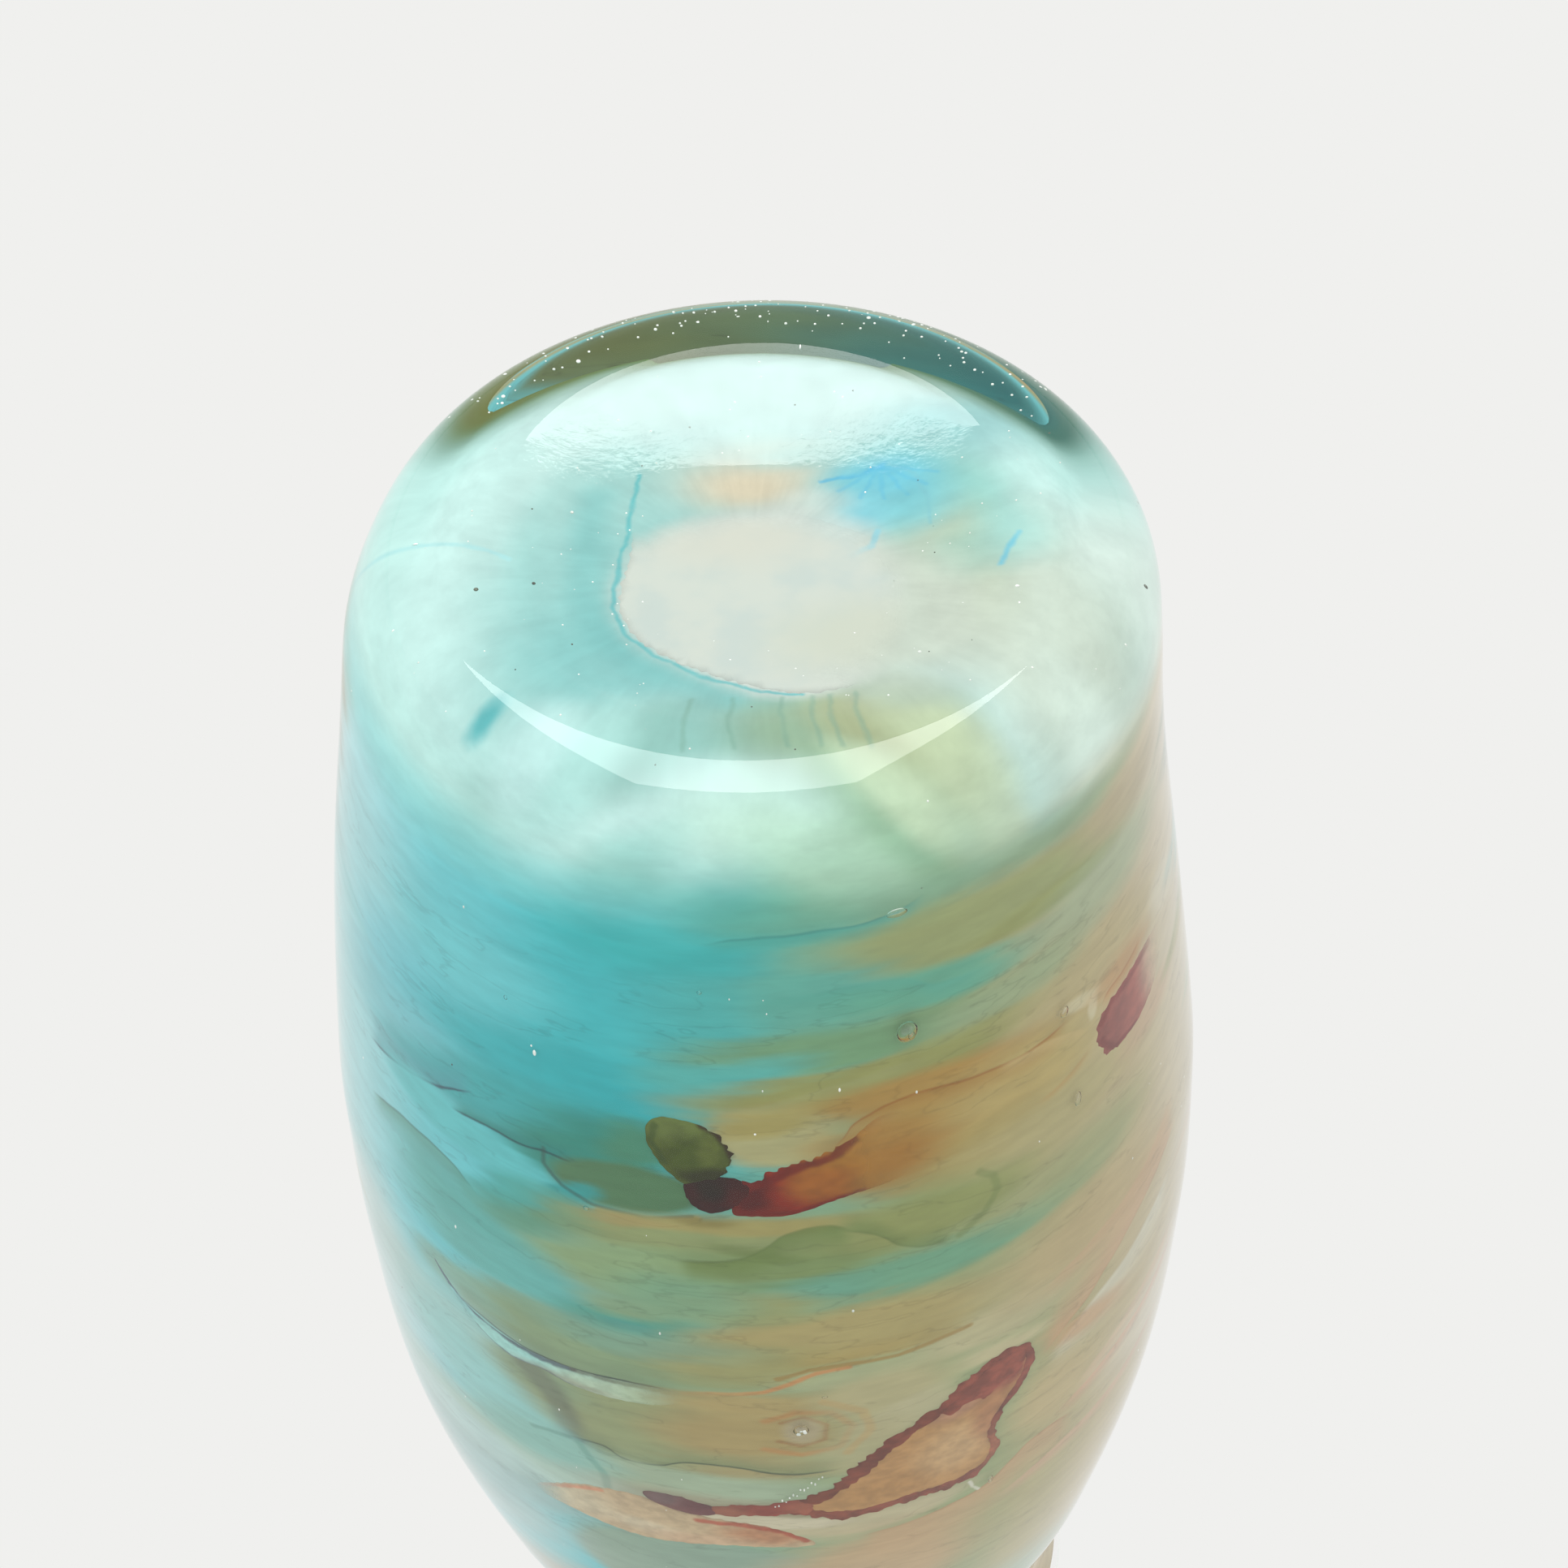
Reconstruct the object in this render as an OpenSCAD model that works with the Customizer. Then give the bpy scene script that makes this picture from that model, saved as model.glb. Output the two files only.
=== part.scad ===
// Hand blown art glass vase: an opal inner vessel, a coloured overlay, picked-up glass shards
// and a thick clear casing. It stands on a worn flat ring at z = 0 with its mouth at the top.
// Angles around the body are in degrees from the front (-Y), growing towards +X.

/* [Overall] */
// Height from the resting ring to the top of the lip
overall_h = 254; // [240:1:280]
// Widest diameter of the body
body_d = 137; // [130:1:150]

/* [Foot] */
// Inner diameter of the flat ring that the vase stands on
ring_in_d = 81; // [76:1:84]
// How far the hollow under the foot rises at its middle
punt_h = 5; // [3:0.5:7]
// Width of the rounded heel, measured inwards from the body
heel_w = 13; // [10:0.5:14]
// Height of the rounded heel
heel_h = 22; // [18:1:26]

/* [Glass layers] */
// Clear glass over the wall
casing_t = 3.2; // [2.6:0.1:4]
// Clear glass under the opal vessel, from the resting ring up
casing_base_t = 12; // [10:0.5:16]
// Coloured overlay between the clear and the opal glass
overlay_t = 0.6; // [0.4:0.1:1]
// Opal wall
opal_t = 1.8; // [1.4:0.1:3]
// Opal floor
opal_base_t = 4; // [3:0.5:6]
// Width of the rounded heel of the opal vessel
opal_heel_w = 16; // [12:0.5:18]
// Height of the rounded heel of the opal vessel
opal_heel_h = 23; // [18:1:26]

/* [Shards] */
// Thickness of a glass shard laid on the overlay
shard_t = 1; // [0.6:0.1:1.6]
// Width of the dark edge around the amber leaf
leaf_edge = 1.4; // [1:0.1:2]
// Mean radius of the bare opal patch under the foot
patch_r = 22.5; // [18:0.5:26]

/* [Hidden] */
$fn = 96;
// How far a pocket for a shard reaches past the glass it is cut from
eps = 0.2;
// Height of the vase that the outlines of the shards are drawn for
drawn_h = 254;
// Points along the curves
heel_steps = 10;
body_steps = 44;
punt_steps = 8;
bead_steps = 10;
outline_steps = 3;
patch_points = 36;
// Superellipse powers of the clear heel and of the opal vessel's heel
casing_heel_power = 2.5;
opal_heel_power = 2;
// Middle of the bare patch, and the two waves in its edge
patch_at = [-6, -7.5];
patch_waves = [1.2, 0.8];

// Outer curve of the body: share of the height, share of the widest radius
body_curve = [
    [0, 0.855], [0.135, 0.894], [0.27, 0.95], [0.405, 0.995], [0.445, 1], [0.54, 0.992],
    [0.675, 0.942], [0.81, 0.819], [0.876, 0.73], [0.945, 0.655], [1, 0.7]
];
stations = [for (p = body_curve) [p[0] * overall_h, p[1] * body_d / 2]];
last = len(stations) - 1;

// Outlines of the shards as [angle, height] corners
olive_outline = [
    [14, 58.5], [15.5, 61.5], [14.5, 66], [11.5, 71], [9, 71.5], [5, 69], [4, 66], [5.5, 62], [9, 59]
];
maroon_outline = [
    [10.5, 71], [7.5, 69.5], [4, 70], [1.5, 71.5], [2, 74], [5, 76], [7.5, 77], [10, 75]
];
ribbon_outline = [
    [3.5, 71], [-2, 68], [-8, 66], [-12, 63.5], [-16, 60.5], [-20, 63], [-21, 69], [-17, 73.5],
    [-9, 75.5], [-3, 77.5], [4.5, 76.5]
];
plum_outline = [
    [-52, 66], [-54, 64], [-60, 63.5], [-66, 63], [-70, 64.5], [-68, 71], [-62, 74.5], [-54, 74], [-51.5, 70]
];
leaf_outline = [
    [-1, 148.5], [-8, 143.5], [-13.5, 136], [-19, 131], [-26, 125], [-30, 122], [-35, 123.5],
    [-35, 131], [-31, 137], [-30, 147], [-27, 152], [-18, 151], [-9, 151.5]
];
chip_outline = [
    [19.5, 148.5], [15.5, 147], [11.5, 148.5], [9, 150], [11, 152], [16, 152]
];
thread_outline = [
    [11, 150], [6, 147.5], [1, 147], [-4, 145.5], [-4, 151], [1, 151], [6, 150.5]
];
sliver_outline = [
    [51, 112], [45, 117.5], [36, 119.5], [27, 119], [18, 118], [12, 118.5], [15, 123], [23, 125],
    [31, 122.5], [39, 123.5], [46, 119]
];
peach_outline = [
    [38, 160.5], [31, 154], [23, 150.5], [19.5, 152.5], [9.5, 153], [2, 154.5], [-4, 160.5],
    [8, 161], [20, 163], [31, 162]
];

leaf_inner = inward(leaf_outline, leaf_edge);
outlines = [
    olive_outline, maroon_outline, ribbon_outline, plum_outline, leaf_outline,
    chip_outline, thread_outline, sliver_outline, peach_outline
];

lip_t = casing_t + overlay_t + opal_t;
lip_z = overall_h - lip_t / 2;
wall_z = casing_base_t + opal_heel_h;

// Slope of the body curve at station i
function slope(i) =
    let (a = stations[max(i - 1, 0)], b = stations[min(i + 1, last)])
    (b[1] - a[1]) / (b[0] - a[0]);

// Station that a height lies above
function span(z) = max([for (i = [0:last - 1]) if (z >= stations[i][0] || i == 0) i]);

// Radius of the body's smooth outer curve at a height
function body_r(z) =
    let (
        i = span(z),
        a = stations[i],
        b = stations[i + 1],
        w = b[0] - a[0],
        t = (z - a[0]) / w
    )
    a[1] * (2 * t * t * t - 3 * t * t + 1)
    + slope(i) * w * (t * t * t - 2 * t * t + t)
    + b[1] * (3 * t * t - 2 * t * t * t)
    + slope(i + 1) * w * (t * t * t - t * t);

// Rounded heel: points of a curve from flat underside to upright wall, starting at height z0
function heel_points(inset, z0, w, h, power) = [
    for (k = [0:heel_steps])
        let (
            t = 90 * k / heel_steps,
            z = z0 + h * (1 - pow(cos(t), 2 / power)),
            r = body_r(z) - inset - w * (1 - pow(sin(t), 2 / power))
        )
        [r, z]
];

// The wall from a height up to the lip
function wall_points(inset, z0) = [
    for (k = [0:body_steps])
        let (z = z0 + (lip_z - z0) * k / body_steps)
        [body_r(z) - inset, z]
];

// Skips the first point of a list, where two curves meet
function tail(list) = [for (i = [1:len(list) - 1]) list[i]];

function reversed(list) = [for (i = [len(list) - 1:-1:0]) list[i]];

// Outline of a vessel at an inset from the body's curve, from its underside's edge to the lip
function vessel_points(inset, floor_z) = concat(
    heel_points(inset, floor_z, opal_heel_w, opal_heel_h, opal_heel_power),
    tail(wall_points(inset, floor_z + opal_heel_h))
);

// Concave underside: an arc from the middle of the foot to the ring
function punt_points() =
    let (
        r = ring_in_d / 2,
        arc_r = (r * r + punt_h * punt_h) / (2 * punt_h),
        half = asin(r / arc_r)
    )
    [
        for (k = [0:punt_steps])
            let (a = half * k / punt_steps)
            [arc_r * sin(a), punt_h - arc_r * (1 - cos(a))]
    ];

// Fire-polished bead over the top of the wall, from outside to inside
function bead_points() =
    [
        for (k = [1:bead_steps - 1])
            let (a = 180 * k / bead_steps)
            [body_r(lip_z) - lip_t / 2 * (1 - cos(a)), lip_z + lip_t / 2 * sin(a)]
    ];

// A closed ring of glass between two vessel outlines
module vessel_shell(inset_out, floor_out, inset_in, floor_in) {
    rotate_extrude()
        polygon(concat(
            [[0, floor_out]],
            vessel_points(inset_out, floor_out),
            reversed(vessel_points(inset_in, floor_in)),
            [[0, floor_in]]
        ));
}

// Smooth closed curve through the corners of an outline
function rounded(pts) =
    let (n = len(pts))
    [
        for (i = [0:n - 1], k = [0:outline_steps - 1])
            let (
                a = pts[(i + n - 1) % n],
                b = pts[i],
                c = pts[(i + 1) % n],
                d = pts[(i + 2) % n],
                t = k / outline_steps
            )
            b + (c - a) * t / 2
            + (2 * a - 5 * b + 4 * c - d) * t * t / 2
            + (3 * b - a - 3 * c + d) * t * t * t / 2
    ];

function heights(pts) = [for (p = pts) p[1] * overall_h / drawn_h];

function angles(pts) = [for (p = pts) p[0]];

function mid(values) = (min(values) + max(values)) / 2;

// A prism that stands out from the axis and carries an outline to the wall
module outline_prism(pts) {
    a0 = mid(angles(pts));
    wall_r = body_r(mid(heights(pts))) - casing_t;
    rotate([90, 0, a0])
        linear_extrude(height = body_d)
            polygon([
                for (p = rounded(pts))
                    [wall_r * sin(p[0] - a0), p[1] * overall_h / drawn_h]
            ]);
}

// Sleeve of glass around the overlay, as thick as a shard and reaching a little way below it
module laid_sleeve(below = 0) {
    rotate_extrude()
        polygon(concat(
            wall_points(casing_t - shard_t, wall_z),
            reversed(wall_points(casing_t + below, wall_z))
        ));
}

// A shard of glass with an outline, lying on the overlay
module shard(pts) {
    intersection() {
        laid_sleeve();
        outline_prism(pts);
    }
}

// The pockets that the shards press into the clear casing
module pockets() {
    intersection() {
        laid_sleeve(eps);
        union() {
            for (pts = outlines)
                outline_prism(pts);
        }
    }
}

// Outline of the amber leaf inside its dark edge
function inward(pts, d) =
    let (n = len(pts), scale_a = 180 / (PI * (body_d / 2 - casing_t)))
    [
        for (i = [0:n - 1])
            let (
                a = pts[(i + n - 1) % n],
                c = pts[(i + 1) % n],
                run = [(c[0] - a[0]) / scale_a, c[1] - a[1]],
                side = [-run[1], run[0]] / norm(run) * d
            )
            pts[i] + [-side[0] * scale_a, -side[1]]
    ];

// Wavy edge of the bare patch under the foot
module patch_prism() {
    translate(patch_at)
        linear_extrude(height = casing_base_t + overlay_t + eps)
            polygon([
                for (k = [0:patch_points - 1])
                    let (
                        a = 360 * k / patch_points,
                        r = patch_r + patch_waves[0] * cos(2 * a) + patch_waves[1] * sin(3 * a)
                    )
                    [r * cos(a), r * sin(a)]
            ]);
}

module overlay_shell() {
    vessel_shell(casing_t, casing_base_t, casing_t + overlay_t, casing_base_t + overlay_t);
}

module opal_core() {
    color("ivory")
        vessel_shell(
            casing_t + overlay_t, casing_base_t + overlay_t,
            lip_t, casing_base_t + overlay_t + opal_base_t
        );
}

module colour_overlay() {
    color("mediumturquoise")
        difference() {
            overlay_shell();
            patch_prism();
        }
}

module base_patch() {
    color("honeydew")
        intersection() {
            overlay_shell();
            patch_prism();
        }
}

module clear_casing() {
    color("azure", 0.35)
        difference() {
            rotate_extrude()
                polygon(concat(
                    punt_points(),
                    heel_points(0, 0, heel_w, heel_h, casing_heel_power),
                    tail(wall_points(0, heel_h)),
                    bead_points(),
                    [[body_r(lip_z) - lip_t, lip_z]],
                    reversed(vessel_points(casing_t, casing_base_t)),
                    [[0, casing_base_t]]
                ));
            pockets();
        }
}

module olive_shard() {
    color("darkolivegreen")
        shard(olive_outline);
}

module maroon_shard() {
    color("maroon")
        difference() {
            shard(maroon_outline);
            outline_prism(olive_outline);
        }
}

module rust_ribbon() {
    color("sienna")
        difference() {
            shard(ribbon_outline);
            outline_prism(maroon_outline);
        }
}

module plum_shard() {
    color("rosybrown")
        shard(plum_outline);
}

module amber_leaf() {
    color("peru")
        intersection() {
            shard(leaf_outline);
            outline_prism(leaf_inner);
        }
}

module leaf_rim() {
    color("brown")
        difference() {
            shard(leaf_outline);
            outline_prism(leaf_inner);
        }
}

module plum_chip() {
    color("indianred")
        shard(chip_outline);
}

module rust_thread() {
    color("firebrick")
        difference() {
            shard(thread_outline);
            outline_prism(leaf_outline);
            outline_prism(chip_outline);
        }
}

module blue_sliver() {
    color("powderblue")
        shard(sliver_outline);
}

module peach_ribbon() {
    color("burlywood")
        difference() {
            shard(peach_outline);
            outline_prism(leaf_outline);
            outline_prism(chip_outline);
            outline_prism(thread_outline);
        }
}

opal_core();
colour_overlay();
base_patch();
clear_casing();
olive_shard();
maroon_shard();
rust_ribbon();
plum_shard();
amber_leaf();
leaf_rim();
plum_chip();
rust_thread();
blue_sliver();
peach_ribbon();
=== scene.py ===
"""Looks of the hand blown art glass vase. Metres, in the CAD frame: +Z is up and -Y is the front."""

import math
import random

import bmesh
import bpy
from mathutils import Matrix, Vector, noise
from mathutils.geometry import delaunay_2d_cdt


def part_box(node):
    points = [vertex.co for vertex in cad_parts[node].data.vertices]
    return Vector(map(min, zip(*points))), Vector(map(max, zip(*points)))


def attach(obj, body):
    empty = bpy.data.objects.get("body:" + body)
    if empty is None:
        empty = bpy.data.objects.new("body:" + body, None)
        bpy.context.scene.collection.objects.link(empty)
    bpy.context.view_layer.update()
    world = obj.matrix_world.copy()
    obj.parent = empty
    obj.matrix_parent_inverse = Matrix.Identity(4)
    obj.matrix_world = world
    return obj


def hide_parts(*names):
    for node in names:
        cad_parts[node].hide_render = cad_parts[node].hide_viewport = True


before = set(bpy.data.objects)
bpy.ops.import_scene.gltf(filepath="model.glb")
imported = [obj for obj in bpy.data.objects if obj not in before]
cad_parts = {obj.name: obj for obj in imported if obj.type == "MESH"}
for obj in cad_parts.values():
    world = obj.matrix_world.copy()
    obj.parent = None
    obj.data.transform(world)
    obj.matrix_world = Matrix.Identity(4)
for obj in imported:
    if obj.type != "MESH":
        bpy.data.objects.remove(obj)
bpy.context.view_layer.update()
scene = bpy.context.scene
MM = 0.001
ENDLESS = 1000  # half size of a blob of colour along an axis that doesn't matter

# ---------------------------------------------------------------- camera
PITCH = math.radians(46)
ROLL = math.radians(1.89)
AIM = Vector((-3.8, 0, 53.3)) * MM
DISTANCE = 678 * MM

forward = Vector((0, math.cos(PITCH), math.sin(PITCH)))
level = Vector((-1, 0, 0))
rise = level.cross(forward)
right = level * math.cos(ROLL) - rise * math.sin(ROLL)
up = level * math.sin(ROLL) + rise * math.cos(ROLL)
camera = bpy.data.objects.new("camera", bpy.data.cameras.new("camera"))
camera.data.sensor_width = 36
camera.data.lens = 102.5
camera.data.clip_start = 0.01
camera.matrix_world = Matrix.Translation(AIM - forward * DISTANCE) @ Matrix(
    (right, up, -forward)
).transposed().to_4x4()
scene.collection.objects.link(camera)
scene.camera = camera
scene.view_settings.view_transform = "Standard"


# ---------------------------------------------------------------- shader node helpers
def linear(value):
    """One sRGB channel, 0 to 255, as a linear value."""
    v = value / 255
    return v / 12.92 if v <= 0.04045 else ((v + 0.055) / 1.055) ** 2.4


def rgb(red, green, blue):
    """A colour from sRGB channels, 0 to 255."""
    return (linear(red), linear(green), linear(blue), 1)


class Nodes:
    """Short ways to add nodes to one shader tree."""

    def __init__(self, tree):
        self.tree = tree

    def put(self, socket, value):
        if isinstance(value, bpy.types.NodeSocket):
            self.tree.links.new(value, socket)
        elif value is not None:
            socket.default_value = value

    def add(self, kind, *values, **settings):
        node = self.tree.nodes.new("ShaderNode" + kind)
        for name, value in settings.items():
            setattr(node, name, value)
        for socket, value in zip(node.inputs, values):
            self.put(socket, value)
        return node

    def math(self, operation, a, b=None, c=None):
        return self.add("Math", a, b, c, operation=operation).outputs[0]

    def times(self, a, b):
        return self.math("MULTIPLY", a, b)

    def vec(self, operation, a, b=None):
        node = self.add("VectorMath", a, b, operation=operation)
        scalar = operation in ("LENGTH", "DISTANCE", "DOT_PRODUCT")
        return node.outputs["Value" if scalar else "Vector"]

    def scaled(self, vector, factor):
        node = self.add("VectorMath", vector, operation="SCALE")
        self.put(node.inputs["Scale"], factor)
        return node.outputs["Vector"]

    def join(self, x, y, z=0.0):
        return self.add("CombineXYZ", x, y, z).outputs[0]

    def split(self, vector):
        return self.add("SeparateXYZ", vector).outputs

    def step(self, value, start, end, low=0.0, high=1.0):
        """Smooth step from start to end."""
        return self.add("MapRange", value, start, end, low, high, interpolation_type="SMOOTHSTEP").outputs[0]

    def mix(self, factor, a, b, blend="MIX"):
        node = self.add("Mix", data_type="RGBA", blend_type=blend)
        for index, value in ((0, factor), (6, a), (7, b)):
            self.put(node.inputs[index], value)
        return node.outputs[2]

    def noise(self, vector, scale, detail=2.0, rough=0.5):
        node = self.add("TexNoise")
        for name, value in (("Vector", vector), ("Scale", scale), ("Detail", detail), ("Roughness", rough)):
            self.put(node.inputs[name], value)
        return node

    def cloud(self, place, stretch, detail=2.0, rough=0.5):
        """Noise value at a place whose axes are scaled first."""
        return self.noise(self.vec("MULTIPLY", place, stretch), 1.0, detail, rough).outputs[0]

    def call(self, group, **values):
        node = self.add("Group", node_tree=group)
        for name, value in values.items():
            self.put(node.inputs[name], value)
        return node.outputs[0]


def node_group(name, inputs, output):
    """An empty node group, its helper, its inputs by name and a function that sets its result."""
    kinds = {"f": "NodeSocketFloat", "v": "NodeSocketVector", "c": "NodeSocketColor"}
    tree = bpy.data.node_groups.new(name, "ShaderNodeTree")
    for label, kind in inputs.items():
        tree.interface.new_socket(name=label, in_out="INPUT", socket_type=kinds[kind])
    tree.interface.new_socket(name="Result", in_out="OUTPUT", socket_type=kinds[output])
    nodes = Nodes(tree)
    source = tree.nodes.new("NodeGroupInput").outputs
    target = tree.nodes.new("NodeGroupOutput").inputs[0]
    return tree, nodes, source, target


def blob_group():
    """A soft-edged ellipse of colour."""
    tree, n, i, out = node_group(
        "blob",
        {
            "Under": "c", "At": "v", "Centre": "v", "Size": "v", "Turn": "v",
            "Soft": "f", "Colour": "c", "Strength": "f",
        },
        "c",
    )
    # a shift far too small to see makes each layer wait for the one under it
    waited = n.add("VectorMath", i["Under"], (1e-9, 1e-9, 1e-9), i["At"], operation="MULTIPLY_ADD")
    away = n.vec("SUBTRACT", waited.outputs[0], i["Centre"])
    turned = n.add("VectorRotate", away, rotation_type="EULER_XYZ", invert=True)
    n.put(turned.inputs["Rotation"], i["Turn"])
    away = n.vec("LENGTH", n.vec("DIVIDE", turned.outputs[0], i["Size"]))
    inner = n.math("SUBTRACT", 1.0, i["Soft"])
    outer = n.math("ADD", 1.0, i["Soft"])
    mask = n.times(n.step(away, outer, inner), i["Strength"])
    tree.links.new(n.mix(mask, i["Under"], i["Colour"]), out)
    return tree


def segment_group():
    """Distance from a point to a straight segment."""
    tree, n, i, out = node_group("segment", {"At": "v", "From": "v", "To": "v"}, "f")
    away = n.vec("SUBTRACT", i["At"], i["From"])
    run = n.vec("SUBTRACT", i["To"], i["From"])
    share = n.math("DIVIDE", n.vec("DOT_PRODUCT", away, run), n.vec("DOT_PRODUCT", run, run))
    share = n.add("Clamp", share).outputs[0]
    tree.links.new(n.vec("DISTANCE", away, n.scaled(run, share)), out)
    return tree


def wave_group():
    """Colour on one side of an edge, sharp at the edge and fading away from it, with a fine line along it."""
    tree, n, i, out = node_group(
        "wave",
        {"Under": "c", "Off": "f", "Along": "f", "Fade": "f", "Line": "f", "Edge": "f",
         "Ends": "f", "Colour": "c", "Ink": "c", "Strength": "f", "Inking": "f"},
        "c",
    )
    near = n.step(i["Off"], n.times(i["Edge"], -1.0), i["Edge"])
    far = n.step(i["Off"], i["Fade"], 0.0)
    start = n.step(i["Along"], 0.0, i["Ends"])
    end = n.step(i["Along"], 1.0, n.math("SUBTRACT", 1.0, i["Ends"]))
    ends = n.times(start, end)
    fill = n.times(n.times(near, far), ends)
    filled = n.mix(n.times(fill, i["Strength"]), i["Under"], i["Colour"])
    line = n.step(n.math("ABSOLUTE", i["Off"]), i["Line"], 0.0)
    inked = n.times(n.times(line, ends), i["Inking"])
    tree.links.new(n.mix(inked, filled, i["Ink"]), out)
    return tree


BLOB, SEGMENT, WAVE = blob_group(), segment_group(), wave_group()


# ---------------------------------------------------------------- profile of the vase
casing_lo, casing_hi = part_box("clear_casing")
HEIGHT = casing_hi.z / MM
RADIUS = (casing_hi.x - casing_lo.x) / 2 / MM
# share of the height, share of the widest radius
BODY = [
    (0, 0.855), (0.135, 0.894), (0.27, 0.95), (0.405, 0.995), (0.445, 1), (0.54, 0.992),
    (0.675, 0.942), (0.81, 0.819), (0.876, 0.73), (0.945, 0.655), (1, 0.7),
]
STATIONS = [(z * HEIGHT, r * RADIUS) for z, r in BODY]
# height, sideways drift of the hand blown body
SWAY = [(0, -0.9), (9, -0.9), (18, 0), (45, 0.9), (72, 0.9), (128, 0), (180, -0.3), (254, -2.7)]
CASING, OVERLAY, OPAL = 3.2, 0.6, 1.8
LIP = CASING + OVERLAY + OPAL
FLOOR = 12
PUNT_R, PUNT_H = 40.5, 5
HEEL_W, HEEL_H, HEEL_POWER = 13, 22, 2.5
CORE_W, CORE_H, CORE_POWER = 16, 23, 2


def curve(points, at):
    """Smooth curve through a list of points."""
    last = len(points) - 1
    k = max([i for i in range(last) if at >= points[i][0]] or [0])

    def slope(i):
        a, b = points[max(i - 1, 0)], points[min(i + 1, last)]
        return (b[1] - a[1]) / (b[0] - a[0])

    (x0, y0), (x1, y1) = points[k], points[k + 1]
    w = x1 - x0
    t = (at - x0) / w
    return (
        y0 * (2 * t**3 - 3 * t**2 + 1) + slope(k) * w * (t**3 - 2 * t**2 + t)
        + y1 * (3 * t**2 - 2 * t**3) + slope(k + 1) * w * (t**3 - t**2)
    )


def heel(inset, start, w, h, power, steps=40):
    points = []
    for k in range(steps + 1):
        t = math.pi / 2 * k / steps
        z = start + h * (1 - max(math.cos(t), 0) ** (2 / power))
        points.append((curve(STATIONS, z) - inset - w * (1 - math.sin(t) ** (2 / power)), z))
    return points


def wall(inset, start, end, steps=110):
    heights = [start + (end - start) * k / steps for k in range(1, steps + 1)]
    return [(curve(STATIONS, z) - inset, z) for z in heights]


def vessel(inset, floor, top):
    """Profile of a vessel inside the body, from its floor to a height."""
    rounded = heel(inset, floor, CORE_W, CORE_H, CORE_POWER)
    flat = [(rounded[0][0] * k / 20, floor) for k in range(20)]
    return flat + rounded + wall(inset, floor + CORE_H, top)


def punt(steps=30):
    arc = (PUNT_R**2 + PUNT_H**2) / (2 * PUNT_H)
    half = math.asin(PUNT_R / arc)
    angles = [half * k / steps for k in range(steps + 1)]
    return [(arc * math.sin(a), PUNT_H - arc * (1 - math.cos(a))) for a in angles]


def bead(top, steps=16):
    middle = curve(STATIONS, top) - LIP / 2
    angles = [math.pi * k / steps for k in range(1, steps + 1)]
    return [(middle + LIP / 2 * math.cos(a), top + LIP / 2 * math.sin(a)) for a in angles]


def swayed(x, y, z):
    """A place in millimetres as a point in metres, with the drift of the hand blown body."""
    limit = RADIUS - 0.02
    return Vector((min(max(x + curve(SWAY, z), -limit), limit), y, z)) * MM


def add_mesh(name, verts, faces, material, turn_out=True):
    """A smooth object of its own mesh, with its faces turned outwards or left as they come."""
    mesh = bpy.data.meshes.new(name)
    mesh.from_pydata(verts, [], faces)
    if turn_out:
        bm = bmesh.new()
        bm.from_mesh(mesh)
        bmesh.ops.recalc_face_normals(bm, faces=bm.faces)
        bm.to_mesh(mesh)
        bm.free()
    else:
        mesh.validate()
    mesh.shade_smooth()
    mesh.materials.append(material)
    obj = bpy.data.objects.new(name, mesh)
    scene.collection.objects.link(obj)
    return obj


def lathe(name, profile, material, sides=224):
    """A closed body of revolution whose profile starts and ends on the axis."""
    verts, faces, rings = [], [], []
    for r, z in profile:
        start = len(verts)
        if r < 1e-6:
            verts.append(swayed(0, 0, z))
            rings.append([start] * sides)
            continue
        for k in range(sides):
            a = 2 * math.pi * k / sides
            verts.append(swayed(math.sin(a) * r, -math.cos(a) * r, z))
        rings.append(list(range(start, start + sides)))
    for low, high in zip(rings, rings[1:]):
        for k in range(sides):
            j = (k + 1) % sides
            corners = list(dict.fromkeys([low[k], low[j], high[j], high[k]]))
            if len(corners) > 2:
                faces.append(corners)
    return add_mesh(name, verts, faces, material)


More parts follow.
